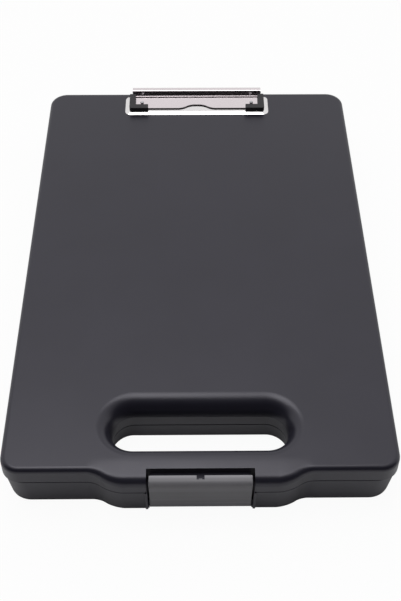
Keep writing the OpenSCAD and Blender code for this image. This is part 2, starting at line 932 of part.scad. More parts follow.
module grip_rivets() {
    r = grip_rivet_d / 2;
    color("silver")
    right_and_left()
        translate([grip_rivet_x, grip_rivet_y, 0])
            rotate_extrude()
                polygon([
                    [0, grip_bottom],
                    [r, grip_bottom],
                    [r, jaw_z],
                    [r + 0.6, jaw_z],
                    [r + 0.3, jaw_z + 0.4],
                    [0, jaw_z + 0.5]
                ]);
}

// ---- Springs ----

// The wire's path: a leg along the base plate, the coil round the rod, and a leg up to the lever.
// Each station is a point and the direction across the wire in the plane of a turn.
function spring_path() =
    let (
        r = coil_d / 2,
        per_turn = 12,
        pitch = wire_d * 1.2,
        steps = coil_turns * per_turn + per_turn / 4,
        pan_gap = rod_z - r - pan_z - wire_d / 2,
        leg_dir = [0, -cos(leg_tilt), -sin(leg_tilt)],
        start = [coil_x, rod_y, rod_z - r],
        leg_gap = 0.3,
        rise = lever_z - jaw_t - leg_gap - rod_z
    )
    concat(
        [[start + min(leg_l, pan_gap / sin(leg_tilt)) * leg_dir, [0, 0, -1]]],
        [
            for (i = [0:steps])
                let (a = -90 + 360 * i / per_turn, d = [0, cos(a), sin(a)])
                    [[coil_x + pitch * i / per_turn, rod_y, rod_z] + r * d, d]
        ],
        [[[coil_x + pitch * steps / per_turn, rod_y + r / 3, rod_z + rise], [0, 1, 0]]]
    );

module clip_spring() {
    path = spring_path();
    sides = 8;
    rings = [
        for (s = path)
            [
                for (k = [0:sides - 1])
                    let (a = 360 * k / sides)
                        s[0] + wire_d / 2 * (cos(a) * s[1] + sin(a) * [1, 0, 0])
            ]
    ];
    color("silver")
        loft(rings);
}

module clip_spring_right() {
    clip_spring();
}

module clip_spring_left() {
    mirror([1, 0, 0])
        clip_spring();
}

base_shell();
lid_shell();
latch();
latch_pin();
hinge_pin_left();
hinge_pin_right();
clip_base_plate();
clip_rivets();
rivet_washers();
clip_pivot_rod();
clip_spring_left();
clip_spring_right();
clip_jaw();
clip_grip_left();
clip_grip_right();
grip_rivets();
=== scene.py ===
"""Dresses the storage clipboard box and sets it in a plain studio."""

import contextlib
import math
from types import SimpleNamespace

import bmesh
import bpy
from mathutils import Matrix, Vector


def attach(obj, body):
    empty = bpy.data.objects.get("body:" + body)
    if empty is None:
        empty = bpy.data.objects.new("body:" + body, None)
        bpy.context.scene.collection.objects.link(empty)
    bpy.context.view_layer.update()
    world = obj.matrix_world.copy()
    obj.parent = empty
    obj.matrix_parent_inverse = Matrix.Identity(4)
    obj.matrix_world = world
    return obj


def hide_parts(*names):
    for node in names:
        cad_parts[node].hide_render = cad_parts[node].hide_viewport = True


bl_info = {
    "name": "Storage clipboard box",
    "version": (1, 0, 0),
    "blender": (4, 5, 0),
    "location": "3D View > Sidebar > Clipboard box",
    "description": "Models and finishes a storage clipboard box around its packed parts",
    "category": "Add Mesh",
}

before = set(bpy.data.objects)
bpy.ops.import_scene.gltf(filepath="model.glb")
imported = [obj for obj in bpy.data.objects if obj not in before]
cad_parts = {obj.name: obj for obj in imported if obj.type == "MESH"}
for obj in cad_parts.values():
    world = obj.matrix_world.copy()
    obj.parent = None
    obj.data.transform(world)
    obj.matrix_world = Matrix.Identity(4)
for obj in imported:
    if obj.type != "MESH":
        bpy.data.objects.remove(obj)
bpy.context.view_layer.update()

MM = 0.001  # also how far a cutter stands past what it cuts
TINY = 0.02 * MM
APART = 0.03 * MM  # keeps the faces of two joined pieces out of one plane
SLACK = 0.1 * MM
BORE_ROOM = 0.05 * MM
FLAT_ANGLE = math.radians(0.05)
UP = Vector((0, 0, 1))


# ---- Sizes and colours ----


def length(name, description, millimetres):
    return bpy.props.FloatProperty(
        name=name, description=description, default=millimetres * MM, unit="LENGTH", precision=4
    )


def colour(name, description, linear):
    return bpy.props.FloatVectorProperty(
        name=name, description=description, default=linear, size=3, min=0, max=1, subtype="COLOR"
    )


class CaseSizes(bpy.types.PropertyGroup):
    """Sizes of the two shells"""

    width: length("Width", "Width of the case", 254)
    length: length("Length", "Length of the lid from its rear wall to its plain front wall", 384)
    height: length("Height", "Height of the closed case without the clip", 40)
    seam: length("Seam height", "Height of the lid's lower edge", 27)
    seam_gap: length("Seam gap", "Gap between the base's rim and the lid's lower edge", 0.4)
    rear_corner: length("Rear corner radius", "Plan radius of the rear corners", 14)
    front_corner: length("Front corner radius", "Plan radius of the front corners", 12.5)
    lid_wall: length("Lid wall", "Wall and top plate of the lid", 2.4)
    lid_draft: length("Lid draft", "How far the lid's skirt leans in up to the top", 0.2)
    top_edge: length("Top edge radius", "Radius of the lid's top edge", 3.6)
    handle_in: length("Handle edge reach", "Reach of the softer edge over the handle", 6.1)
    handle_lip: length("Handle lip", "Height of the plain lip under that softer edge", 5.2)
    base_wall: length("Base wall", "Wall of the base", 3)
    floor: length("Floor", "Floor of the base", 2.4)
    base_inset: length("Base inset", "How far the base's rim stands inside the lid's face", 0.1)
    draft: length("Draft", "How far the base's wall leans in down to the table", 2.1)
    handle_draft: length("Handle draft", "How far it leans in under the handle", 3.3)
    foot_edge: length("Foot edge radius", "Radius of the base's lower edge", 3)
    corner_more: length("Corner gain", "How much rounder the base's corners are", 2.5)
    tongue: length("Tongue height", "How far the base's tongue rises inside the lid", 3)
    tongue_gap: length("Tongue gap", "Gap between the tongue and the lid's wall", 0.4)
    divider_height: length("Divider height", "Height of the divider behind the handle", 18)
    divider_wall: length("Divider thickness", "Thickness of the divider", 2)
    divider_gap: length("Divider gap", "Space between the hand opening's wall and the divider", 13)


class HandleSizes(bpy.types.PropertyGroup):
    """Sizes of the handle and the hand opening"""

    depth: length("Depth", "How far the handle stands out of the plain front wall", 8)
    half_width: length("Half width", "Half of the straight front of the handle", 48.5)
    outer_bend: length("Outer bend", "Radius of the handle's outer bends", 24)
    inner_bend: length("Inner bend", "Radius of the bends where the handle leaves the wall", 14.5)
    opening_width: length("Opening length", "Length of the hand opening", 115.2)
    opening_depth: length("Opening depth", "Depth of the hand opening", 29.4)
    opening_front: length("Opening setback", "Distance from the plain front to the opening", 19.5)
    flare_out: length("Flare reach", "How far the flare round the upper rim reaches out", 10.3)
    flare_down: length("Flare drop", "How far the flare round the upper rim reaches down", 14)
    flare_back: length("Flare offset", "How much further the flare reaches at the back", 1.7)
    crown_in: length("Crown reach", "Depth of the part of the handle's top that leans", 18.4)
    crown_bend: length("Crown bend", "Width over which the handle's top takes its lean", 4)
    crown_drop: length("Crown drop", "How far the handle's top falls towards its front edge", 1.1)
    seam: length("Opening seam", "Height of the seam between the walls round the opening", 18.4)
    draft: length("Opening draft", "How much wider the opening is on each side at the floor", 3)
    foot_flare: length("Foot flare", "Radius of the flare round the opening's lower rim", 3)


class LatchSizes(bpy.types.PropertyGroup):
    """Sizes of the latch and of what carries it"""

    width: length("Width", "Width of the latch", 65)
    thickness: length("Thickness", "Thickness of the latch's plate", 3.2)
    proud: length("Proud", "How far the latch's face stands out of the handle", 0.8)
    drop: length("Drop", "Distance from the case's top down to the latch's top", 2)
    lip: length("Lip radius", "Radius of the latch's upper lip", 3.4)
    reach: length("Hook reach", "Reach of the hook behind the latch's face", 6.8)
    hook: length("Hook thickness", "Thickness of the latch's hook", 3)
    recess: length("Recess depth", "Distance from the handle's face back to the recess wall", 10)
    pin_in: length("Pin setback", "Distance from the latch's face back to its pin", 4.4)
    pin_height: length("Pin height", "Height of the latch pin above the table", 8.6)
    pin: length("Pin diameter", "Diameter of the latch pin", 2.5)
    barrel: length("Barrel radius", "Radius of the latch's barrel", 2.6)
    room: length("Barrel room", "Space between the barrel and the wall behind it", 1.8)
    gap: length("Side gap", "Gap between the latch and each of the base's ears", 1.1)
    recess_more: length("Recess gain", "How much wider the lid's recess is on each side", 0.5)
    ear: length("Ear width", "Width of each ear that carries the latch pin", 1.6)
    ear_in: length("Ear setback", "Distance from the latch's face back to the ears' front", 0.1)
    ear_round: length("Ear radius", "Radius of the ears' lower end and of their bosses", 3.2)
    boss_gap: length("Boss gap", "Gap between the latch's end and the boss on each ear", 0.2)
    catch: length("Catch height", "Height of the lid's catch", 3)
    catch_in: length("Catch inset", "Space between each end of the catch and the recess", 2)
    catch_gap: length("Catch gap", "Gap between the hook and the catch", 0.4)
    notch: length("Notch width", "Width of the notch in the latch's lip", 5)
    notch_depth: length("Notch depth", "Depth of the notch in the latch's lip", 3.2)
    tab: length("Tab width", "Width of the tab that stands in the notch", 2.2)
    tab_drop: length("Tab drop", "How far the tab's top lies under the latch's", 2.5)


class HingeSizes(bpy.types.PropertyGroup):
    """Sizes of the two hinges"""

    inset: length("Inset", "Distance from the case's side to the middle of each hinge", 49)
    out: length("Axis setback", "Distance of the axis behind the lid's rear wall", 2.8)
    knuckle: length("Knuckle radius", "Radius of the knuckles", 3.2)
    pin: length("Pin diameter", "Diameter of the hinge pins", 2.5)
    lid_knuckle: length("Lid knuckle", "Length of the lid's knuckle", 16)
    base_knuckle: length("Base knuckle", "Length of each of the base's knuckles", 10)
    gap: length("Knuckle gap", "Gap between two knuckles", 0.4)
    web: length("Web height", "Height of a knuckle's web along its wall", 9)


class ClipSizes(bpy.types.PropertyGroup):
    """Sizes of the paper clip"""

    width: length("Width", "Width of the base plate", 123)
    depth: length("Depth", "Depth of the base plate", 24.9)
    setback: length("Setback", "Distance from the lid's rear wall to the base plate", 5.7)
    pan: length("Pan height", "Height of the base plate's pan", 1.4)
    slope: length("Slope", "Width of the pan's sloping edge", 3)
    pan_sheet: length("Pan sheet", "Sheet thickness of the pan", 0.8)
    sheet: length("Jaw sheet", "Sheet thickness of the jaw", 0.9)
    side: length("Jaw inset", "Distance from each side of the base plate to the jaw", 6.1)
    jaw_height: length("Jaw height", "Height of the jaw's plate above the lid", 3.2)
    lever_height: length("Lever height", "Height of the lever above the lid", 7.8)
    jaw_setback: length("Jaw setback", "Distance from the base plate's front to the jaw's", 6)
    lever_in: length("Lever foot", "Distance from the rod forward to the foot of the lever", 4.3)
    lip: length("Lip depth", "Depth of the lip along the jaw's front, which lies on the pan", 5)
    lip_slope: length("Lip slope", "Width of the slope from the jaw's plate down to its lip", 7.5)
    lip_dip: length("Lip dip", "How far the lip lies under the jaw's plate", 0.75)
    finger_width: length("Finger notch width", "Width of the finger notch", 32)
    finger_depth: length("Finger notch depth", "Depth of the finger notch", 4.8)
    rod: length("Rod diameter", "Diameter of the pivot rod", 2)
    rod_height: length("Rod height", "Height of the pivot rod above the lid", 3.9)
    rod_out: length("Rod setback", "Distance of the rod behind the base plate's rear edge", 1)
    rod_ear: length("Rod ear", "Metal round the rod in the base plate's ears", 1)
    cheek: length("Cheek", "Metal round the rod in the jaw's cheeks", 1.2)
    rivet: length("Rivet diameter", "Diameter of the rivets' shanks", 3.2)
    rivet_x: length("Rivet place", "Distance of each rivet from the middle", 30)
    rivet_setback: length("Rivet setback", "Distance from the plate's front to its rivets", 11.7)
    rivet_sink: length("Rivet dimple", "Depth of the dimple that takes each rivet's head", 0.7)
    grip_length: length("Grip length", "Length of a grip along the jaw's front", 16)
    grip_width: length("Grip width", "Width of a grip's foot and arm", 5.2)
    grip_wrap: length("Grip wrap", "How far a grip stands out past the jaw's side", 2.4)
    grip_over: length("Grip overhang", "How far a grip stands out past the jaw's front", 3.8)
    grip_top: length("Grip thickness", "Thickness of a grip above the jaw", 2.4)
    grip_gap: length("Grip gap", "Gap between a grip and the base plate", 0.3)
    grip_pad: length("Grip pad", "Depth of the pad under the jaw", 12)


class Colours(bpy.types.PropertyGroup):
    """Colours of the finishes"""

    lid: colour("Lid", "Plastic of the lid", (0.0150, 0.0142, 0.0225))
    base: colour("Base", "Plastic of the base", (0.0138, 0.0130, 0.0210))
    latch: colour("Latch", "Plastic of the latch", (0.185, 0.181, 0.195))
    plate: colour("Plate", "Bright plating of the clip", (0.86, 0.84, 0.84))
    jaw: colour("Jaw", "Bright plating of the jaw", (0.80, 0.74, 0.76))
    steel: colour("Steel", "Pins, rod and springs", (0.58, 0.58, 0.60))
    grip: colour("Grip", "Rubber of the clip's grips", (0.028, 0.027, 0.030))
    floor: colour("Floor", "Studio floor", (0.90, 0.90, 0.90))


def case_places():
    """Where the parts stand, worked out from the sizes."""
    scene = bpy.context.scene
    case, handle, latch, hinge, clip = (
        scene.case_sizes, scene.handle_sizes, scene.latch_sizes, scene.hinge_sizes, scene.clip_sizes
    )
    front_reach = handle.depth + latch.proud
    rear_reach = hinge.out + hinge.knuckle
    rear = (case.length + front_reach + rear_reach) / 2 - rear_reach
    at = SimpleNamespace(rear=rear, front=rear - case.length)
    at.handle = at.front - handle.depth
    at.rim = case.seam - case.seam_gap
    at.opening_radius = handle.opening_depth / 2
    at.opening = at.front + handle.opening_front + at.opening_radius
    at.opening_half = handle.opening_width / 2 - at.opening_radius
    at.opening_rim = handle.seam - case.seam_gap
    at.latch_face = at.handle - latch.proud
    at.latch_pin = at.latch_face + latch.pin_in
    at.latch_top = case.height - latch.drop
    at.recess = at.handle + latch.recess
    at.recess_half = latch.width / 2 + latch.gap
    at.lid_recess_half = at.recess_half + latch.recess_more
    at.ear_half = at.recess_half + latch.ear
    at.ear_front = at.latch_face + latch.ear_in
    at.pocket = at.latch_pin + latch.barrel + latch.room
    at.hook_tip = at.latch_face + latch.reach
    at.catch_top = at.latch_top - latch.hook - latch.catch_gap
    at.catch_front = at.latch_face + latch.thickness + latch.catch_gap
    at.hinge_x = case.width / 2 - hinge.inset
    at.hinge = rear + hinge.out
    at.base_knuckle = (hinge.lid_knuckle + hinge.base_knuckle) / 2 + hinge.gap
    at.hinge_length = hinge.lid_knuckle + 2 * (hinge.gap + hinge.base_knuckle)
    at.clip_back = rear - clip.setback
    at.clip_front = at.clip_back - clip.depth
    at.pan = case.height + clip.pan
    at.jaw_front = at.clip_front + clip.jaw_setback
    at.jaw_top = case.height + clip.jaw_height
    at.jaw_half = clip.width / 2 - clip.side
    at.lever_top = case.height + clip.lever_height
    at.rod = at.clip_back + clip.rod_out
    at.rod_height = case.height + clip.rod_height
    at.rivet = at.clip_front + clip.rivet_setback
    return case, handle, latch, hinge, clip, at


# ---- Modelling ----


def select_only(piece):
    bpy.ops.object.select_all(action="DESELECT")
    piece.select_set(True)
    bpy.context.view_layer.objects.active = piece


@contextlib.contextmanager
def editing(piece):
    select_only(piece)
    bpy.ops.object.mode_set(mode="EDIT")
    bpy.ops.mesh.select_all(action="DESELECT")
    yield
    bpy.ops.object.mode_set(mode="OBJECT")


def pick(kind, test, needed=True):
    """Selects, in the piece being edited, the corners, edges or faces that the test takes."""
    bpy.ops.mesh.select_mode(type=kind)
    bpy.ops.mesh.select_all(action="DESELECT")
    mesh = bpy.context.edit_object.data
    shape = bmesh.from_edit_mesh(mesh)
    items = {"VERT": shape.verts, "EDGE": shape.edges, "FACE": shape.faces}[kind]
    chosen = [item for item in items if test(item)]
    if needed and not chosen:
        raise RuntimeError(f"nothing to select in {bpy.context.edit_object.name}")
    for item in chosen:
        item.select_set(True)
    shape.select_flush_mode()
    bmesh.update_edit_mesh(mesh, loop_triangles=False, destructive=False)
    return len(chosen)


def on(x=None, y=None, z=None):
    """A test for corners that all stand at the given coordinates."""
    return lambda *corners: all(
        want is None or near(have, want)
        for corner in corners for have, want in zip(corner, (x, y, z))
    )


def pick_corners(test, needed=True):
    return pick("VERT", lambda corner: test(corner.co), needed)


def pick_edges(test):
    """The test gets an edge's two ends."""
    return pick("EDGE", lambda edge: test(edge.verts[0].co, edge.verts[1].co))


def pick_faces(test):
    """The test gets a face's middle and its normal."""
    return pick("FACE", lambda face: test(face.calc_center_median(), face.normal))


def near(a, b, slack=TINY):
    return abs(a - b) < slack


def on_sides(x, y):
    """A test for the upright edges that stand at x on either side, and at y."""
    return lambda a, b: near(a.x, b.x) and near(abs(a.x), x) and on(y=y)(a, b)


def bevel_edges(test, width, segments):
    pick_edges(test)
    bpy.ops.mesh.bevel(
        offset=width, offset_type="OFFSET", segments=segments, affect="EDGES", clamp_overlap=False
    )


def slice_all(x=None, y=None, z=None):
    """Cuts the whole mesh along the plane at the one coordinate given."""
    bpy.ops.mesh.select_all(action="SELECT")
    slice_picked(x, y, z)


def slice_picked(x=None, y=None, z=None):
    place = [value or 0 for value in (x, y, z)]
    normal = [float(value is not None) for value in (x, y, z)]
    bpy.ops.mesh.bisect(plane_co=place, plane_no=normal)


def move(x=0.0, y=0.0, z=0.0):
    bpy.ops.transform.translate(value=(x, y, z))


def extrude(x=0.0, y=0.0, z=0.0):
    bpy.ops.mesh.extrude_region_move(TRANSFORM_OT_translate={"value": (x, y, z)})


def scale_about(centre, x=1.0, y=1.0, z=1.0):
    bpy.ops.transform.resize(value=(x, y, z), center_override=tuple(centre))


def merge_flat():
    bpy.ops.mesh.select_all(action="SELECT")
    bpy.ops.mesh.dissolve_limited(angle_limit=FLAT_ANGLE)


def face_outwards():
    bpy.ops.mesh.select_all(action="SELECT")
    bpy.ops.mesh.normals_make_consistent(inside=False)


def named(name):
    """The primitive just added, named and with its place in its mesh."""
    piece = bpy.context.object
    piece.name = piece.data.name = name
    bpy.ops.object.transform_apply(location=True, rotation=True, scale=True)
    return piece


def finished_by(piece, kind, **settings):
    """Adds a modifier to a piece, sets it and applies it."""
    select_only(piece)
    bpy.ops.object.modifier_add(type=kind)
    modifier = piece.modifiers[-1]
    for key, value in settings.items():
        setattr(modifier, key, value)
    bpy.ops.object.modifier_apply(modifier=modifier.name)


def block(name, low, high):
    low, high = Vector(low), Vector(high)
    bpy.ops.object.select_all(action="DESELECT")
    bpy.ops.mesh.primitive_cube_add(size=1, location=(low + high) / 2, scale=high - low)
    return named(name)


def drum(name, radius, span, place, segments=48):
    """A round bar along X."""
    bpy.ops.object.select_all(action="DESELECT")
    bpy.ops.mesh.primitive_cylinder_add(
        vertices=segments, radius=radius, depth=span, location=place, rotation=(0, math.pi / 2, 0)
    )
    return named(name)


def upright(name, radius, plan, low, high, segments=32):
    """A round bar along Z."""
    bpy.ops.object.select_all(action="DESELECT")
    bpy.ops.mesh.primitive_cylinder_add(
        vertices=segments, radius=radius, depth=high - low, location=(*plan, (low + high) / 2)
    )
    return named(name)


def combine(piece, tool, operation):
    finished_by(piece, "BOOLEAN", operation=operation, solver="EXACT", object=tool)
    spent = tool.data
    bpy.data.objects.remove(tool)
    bpy.data.meshes.remove(spent)
    if not piece.data.polygons:
        raise RuntimeError(f"{piece.name} came out empty")


def cut(piece, tool):
    combine(piece, tool, "DIFFERENCE")


def add(piece, tool):
    combine(piece, tool, "UNION")


def tidy(piece, angle):
    """Joins loose corners, merges flat faces, drops stray ones and smooths gentle bends."""
    with editing(piece):
        bpy.ops.mesh.select_all(action="SELECT")
        bpy.ops.mesh.remove_doubles(threshold=0.002 * MM)
        bpy.ops.mesh.dissolve_degenerate(threshold=0.001 * MM)
        bpy.ops.mesh.dissolve_limited(angle_limit=FLAT_ANGLE)
        if pick("FACE", lambda face: all(edge.is_boundary for edge in face.edges), needed=False):
            bpy.ops.mesh.delete(type="FACE")
    select_only(piece)
    bpy.ops.object.shade_smooth_by_angle(angle=math.radians(angle))
    finished_by(piece, "WEIGHTED_NORMAL", keep_sharp=True, weight=100)


def dress(piece, finish):
    piece.data.materials.clear()
    piece.data.materials.append(FINISHES[finish])


def finish_piece(piece, angle, name, body, finish, node):
    """Cleans a piece, names it, gives it its finish, and sets it on its body in a node's place."""
    tidy(piece, angle)
    piece.name = piece.data.name = name
    dress(piece, finish)
    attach(piece, body)
    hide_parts(node)


# ---- Shells ----

BEND_STEPS, CORNER_STEPS, FLARE_STEPS = 10, 14, 14
LID_EDGE = 0.3 * MM
BASE_EDGE = 0.9 * MM
RIM_EDGE = 0.6 * MM
RECESS_EDGE = 0.8 * MM
TONGUE_EDGE = 0.5 * MM
TONGUE_ROOT = 6 * MM
ROOM_EDGE = 2 * MM
EAR_EDGE = 0.3 * MM
CATCH_EDGE = 0.25 * MM
CATCH_SLOPE = 0.6 * MM
WEB_LEAN = math.radians(35)
COLUMN_WIDTH = 0.3 * MM
COLUMN_MORE = 0.5 * MM
LEVEL = 0.999  # least upward part of a level face's normal


def handle_bend(handle):
    """The angle of the handle's bends, and the run of a pair of them along the front."""
    reach = handle.outer_bend + handle.inner_bend
    bend = math.acos(1 - handle.depth / reach)
    return bend, reach * math.sin(bend)


def case_block(name, inset, low, high, more=0.0):
    """A block with the case's outline and the handle's bulge.

    It is set in by inset, and its corners are rounder by more.
    """
    case, handle, _, _, _, at = case_places()
    bend, run = handle_bend(handle)
    slack = math.tan(bend / 2)
    outer, inner = handle.outer_bend - inset, handle.inner_bend + inset
    outer_x = handle.half_width + outer * slack
    inner_x = handle.half_width + run - inner * slack
    side = case.width / 2 - inset
    back, front, bulge = at.rear - inset, at.front + inset, at.handle + inset
    piece = block(name, (-side, front, low), (side, back, high))
    with editing(piece):
        for x in (-inner_x, -outer_x, outer_x, inner_x):
            slice_all(x=x)
        pick_corners(lambda c: abs(c.x) < outer_x + TINY and near(c.y, front))
        move(y=-handle.depth)
        for x, y, width, steps in (
            (side, back, case.rear_corner + more - inset, CORNER_STEPS),
            (side, front, case.front_corner + more - inset, CORNER_STEPS),
            (inner_x, front, (inner - TINY) * slack, BEND_STEPS),
            (outer_x, bulge, (outer - TINY) * slack, BEND_STEPS),
        ):
            bevel_edges(on_sides(x, y), width, steps)
        bpy.ops.mesh.select_all(action="SELECT")
        bpy.ops.mesh.remove_doubles(threshold=0.05 * MM)
        bpy.ops.mesh.dissolve_limited(angle_limit=FLAT_ANGLE)
    return piece


def round_handle(x, y):
    """At a place on the front outline, the way into the case and the share of the handle."""
    _, handle, _, _, _, at = case_places()
    bend, run = handle_bend(handle)
    out = abs(x) - handle.half_width
    if out <= 0:
        return Vector((0, 1, 0)), 1
    turn = math.atan2(out, at.handle + handle.outer_bend - y)
    part = 1 - turn / bend / 2
    if turn > bend:
        turn = max(math.atan2(run - out, y - at.front + handle.inner_bend), 0)
        part = turn / bend / 2
    return Vector((-math.copysign(math.sin(turn), x), math.cos(turn), 0)), part


def front_stations(piece, height, limit):
    """The handle's outline corners at a height, each with its inward direction and handle share."""
    found = []
    for corner in piece.data.vertices:
        place = corner.co
        if near(place.z, height) and place.y < limit:
            into, part = round_handle(place.x, place.y)
            if part > 0:
                found.append((place.copy(), into, part))
    return found


def pick_column(place, into, reach, depth):
    """Selects one column of corners of the top edge's fillet, from its place inwards and down."""
    along = UP.cross(into)

    def on_column(c):
        off = c - place
        return (
            abs(off.dot(along)) < COLUMN_WIDTH
            and -COLUMN_MORE < off.dot(into) < reach + COLUMN_MORE
            and -depth - TINY < off.z < TINY
        )

    pick_corners(on_column)


def soften_handle(piece, stations, edge, reach, drop):
    """Stretches the top edge's fillet over the handle, one column of corners at a time."""
    with editing(piece):
        for place, into, part in stations:
            pick_column(place, into, edge, edge)
            bpy.ops.transform.resize(
                value=(1 + part * (reach / edge - 1), 1, 1 + part * (drop / edge - 1)),
                orient_type="GLOBAL",
                orient_matrix=(tuple(into), tuple(UP.cross(into)), tuple(UP)),
                orient_matrix_type="GLOBAL",
                constraint_axis=(True, False, True),
                center_override=tuple(place),
            )


def crown_handle(piece, stations):
    """Lets the handle's top lean forward, and the fillet of its front edge with it."""
    case, handle, _, _, _, at = case_places()
    top = case.height
    drop = top - case.seam - case.handle_lip
    start = at.handle + handle.crown_in
    turned = start - handle.crown_bend
    first_fall = handle.crown_drop * handle.crown_bend / (2 * handle.crown_in)
    ring = [
        (place + into * (case.top_edge + part * (case.handle_in - case.top_edge)), part)
        for place, into, part in stations
    ]
    with editing(piece):
        for y in (start, turned):
            pick_faces(lambda c, n: n.z > LEVEL and near(c.z, top))
            slice_picked(y=y)
        for corner, _ in ring:
            pick_faces(lambda c, n: n.z > LEVEL and near(c.z, top) and c.y < start)
            slice_picked(x=corner.x)
        for corner, part in ring:
            if pick_corners(on(corner.x, turned, top), needed=False):
                move(z=-first_fall * part)
        for place, into, part in stations:
            depth = case.top_edge + part * (drop - case.top_edge)
            pick_column(place, into, case.handle_in, depth)
            scale_about(place - UP * depth, z=1 - handle.crown_drop * part / depth)


def draw_in(piece, stations, height, amount, extra=0.0):
    """Draws the wall's edge at a height in by amount, and by extra more at the handle.

    Returns the stations where they then are.
    """
    case, _, _, _, _, at = case_places()
    middle = Vector((0, (at.rear + at.front) / 2, height))
    lean = Vector((1 - 2 * amount / case.width, 1 - 2 * amount / case.length, 1))
    with editing(piece):
        for place, into, part in stations if extra else ():
            pick_corners(lambda c: (c - place).length < 0.05 * MM)
            move(*(into * extra * part))
        pick_corners(on(z=height))
        scale_about(middle, *lean)
    return [(middle + (place - middle) * lean, into, part) for place, into, part in stations]


def stadium(name, grow, low, high):
    """A block with the hand opening's outline, larger by grow."""
    _, _, _, _, _, at = case_places()
    radius = at.opening_radius + grow
    half = at.opening_half + radius
    piece = block(name, (-half, at.opening - radius, low), (half, at.opening + radius, high))
    with editing(piece):
        bevel_edges(lambda a, b: near(a.x, b.x) and near(a.y, b.y), radius - TINY, 24)
    return piece


def from_opening(place):
    """How far a place is from the hand opening's plan outline."""
    _, _, _, _, _, at = case_places()
    beyond = max(abs(place.x) - at.opening_half, 0)
    return math.hypot(beyond, place.y - at.opening) - at.opening_radius


def on_opening(grow, height, slack=0.06 * MM):
    """A test for the edges of the hand opening's rim at a height."""
    return lambda *ends: all(
        near(c.z, height) and near(from_opening(c), grow, slack) for c in ends
    )


def flare_opening(piece, inside, height, reach, drop):
    """Rounds the opening's upper rim, stretches the rounding down and shifts it back."""
    _, handle, _, _, _, _ = case_places()
    bevel_edges(on_opening(inside, height), reach, FLARE_STEPS)
    pick_corners(
        lambda c: height - reach - TINY < c.z < height + TINY
        and inside - SLACK < from_opening(c) < inside + reach + SLACK
    )
    scale_about((0, 0, height), z=drop / reach)
    for step in range(1, FLARE_STEPS + 1):
        angle = math.pi / 2 * step / FLARE_STEPS
        share = 1 - math.cos(angle)
        level = height - drop * (1 - math.sin(angle))
        pick_corners(
            lambda c: near(c.z, level, 0.01 * MM)
            and near(from_opening(c), inside + reach * share, SLACK)
        )
        move(y=handle.flare_back * share)


def spread_foot(piece, grow, height):
    """Widens the lower end of a piece that has the opening's outline, larger by grow."""
    _, handle, _, _, _, at = case_places()
    half = at.opening_half + at.opening_radius + grow
    radius = at.opening_radius + grow
    with editing(piece):
        pick_corners(on(z=height))
        scale_about(
            (0, at.opening, height), 1 + handle.draft / half, 1 + handle.draft / radius
        )


def knuckle(x, span, wall, low_end, high_end):
    """A hinge knuckle at x with a web to the wall between two heights."""
    case, _, _, hinge, _, at = case_places()
    piece = drum("Knuckle", hinge.knuckle, span, (x, at.hinge, case.seam))
    half = span / 2
    rises = high_end > case.seam
    web = block("Web", (x - half, wall, low_end), (x + half, at.hinge, high_end))
    out, lift = hinge.knuckle * math.cos(WEB_LEAN), hinge.knuckle * math.sin(WEB_LEAN)
    far, close = (high_end, low_end) if rises else (low_end, high_end)
    with editing(web):
        pick_corners(on(y=at.hinge, z=far))
        move(y=out, z=case.seam + (lift if rises else -lift) - far)
        pick_corners(on(y=at.hinge, z=close))
        move(z=case.seam - close)
    add(piece, web)
    return piece


def lid_shell():
    case, handle, _, hinge, clip, at = case_places()
    top = case.height
    shell = case_block("Lid", 0, case.seam, top)
    stations = front_stations(shell, top, at.front + TINY)
    stations = draw_in(shell, stations, top, case.lid_draft)
    with editing(shell):
        bevel_edges(on(z=top), case.top_edge, 8)
        bevel_edges(on(z=case.seam), LID_EDGE, 2)
    soften_handle(
        shell, stations, case.top_edge, case.handle_in, top - case.seam - case.handle_lip
    )
    crown_handle(shell, stations)
    cut(shell, stadium("Opening", 0, case.seam - MM, top + MM))
    with editing(shell):
        flare_opening(shell, 0, top, handle.flare_out, handle.flare_down)
    cut(shell, block(
        "Recess",
        (-at.lid_recess_half, at.handle - MM, case.seam - MM),
        (at.lid_recess_half, at.recess, top + MM),
    ))
    with editing(shell):
        bevel_edges(
            lambda a, b: on(y=at.recess)(a, b) and min(a.z, b.z) > top - handle.crown_drop,
            RECESS_EDGE, 3,
        )
    cut(shell, lid_cavity())
    add(shell, lid_tube())
    for side in (-1, 1):
        for off in (-at.base_knuckle, at.base_knuckle):
            cut(shell, drum(
                "Knuckle room", hinge.knuckle + hinge.gap, hinge.base_knuckle + 2 * hinge.gap,
                (side * at.hinge_x + off, at.hinge, case.seam),
            ))
        add(shell, knuckle(
            side * at.hinge_x, hinge.lid_knuckle, at.rear - case.lid_draft - MM,
            case.seam + 0.01 * MM, case.seam + hinge.web,
        ))
        cut(shell, drum(
            "Bore", hinge.pin / 2 + BORE_ROOM, hinge.lid_knuckle + MM,
            (side * at.hinge_x, at.hinge, case.seam), 32,
        ))
    add(shell, latch_catch())
    for side in (-1, 1):
        cut(shell, upright(
            "Rivet hole", clip.rivet / 2, (side * clip.rivet_x, at.rivet),
            top - case.lid_wall - MM, top + MM,
        ))
    return shell


def lid_lean(height):
    """How far the lid's skirt stands inside its lower edge at a height."""
    case, _, _, _, _, _ = case_places()
    return case.lid_draft * (height - case.seam) / (case.height - case.seam)


def lid_tube():
    """The lower end of the lid's wall round the opening, which stands on the base's."""
    case, handle, _, _, _, _ = case_places()
    high = case.seam + 0.5 * MM
    tube = stadium("Opening wall", case.lid_wall, handle.seam, high)
    cut(tube, stadium("Opening", 0, handle.seam - MM, high + MM))
    with editing(tube):
        bevel_edges(on_opening(0, handle.seam), RIM_EDGE, 3)
    return tube


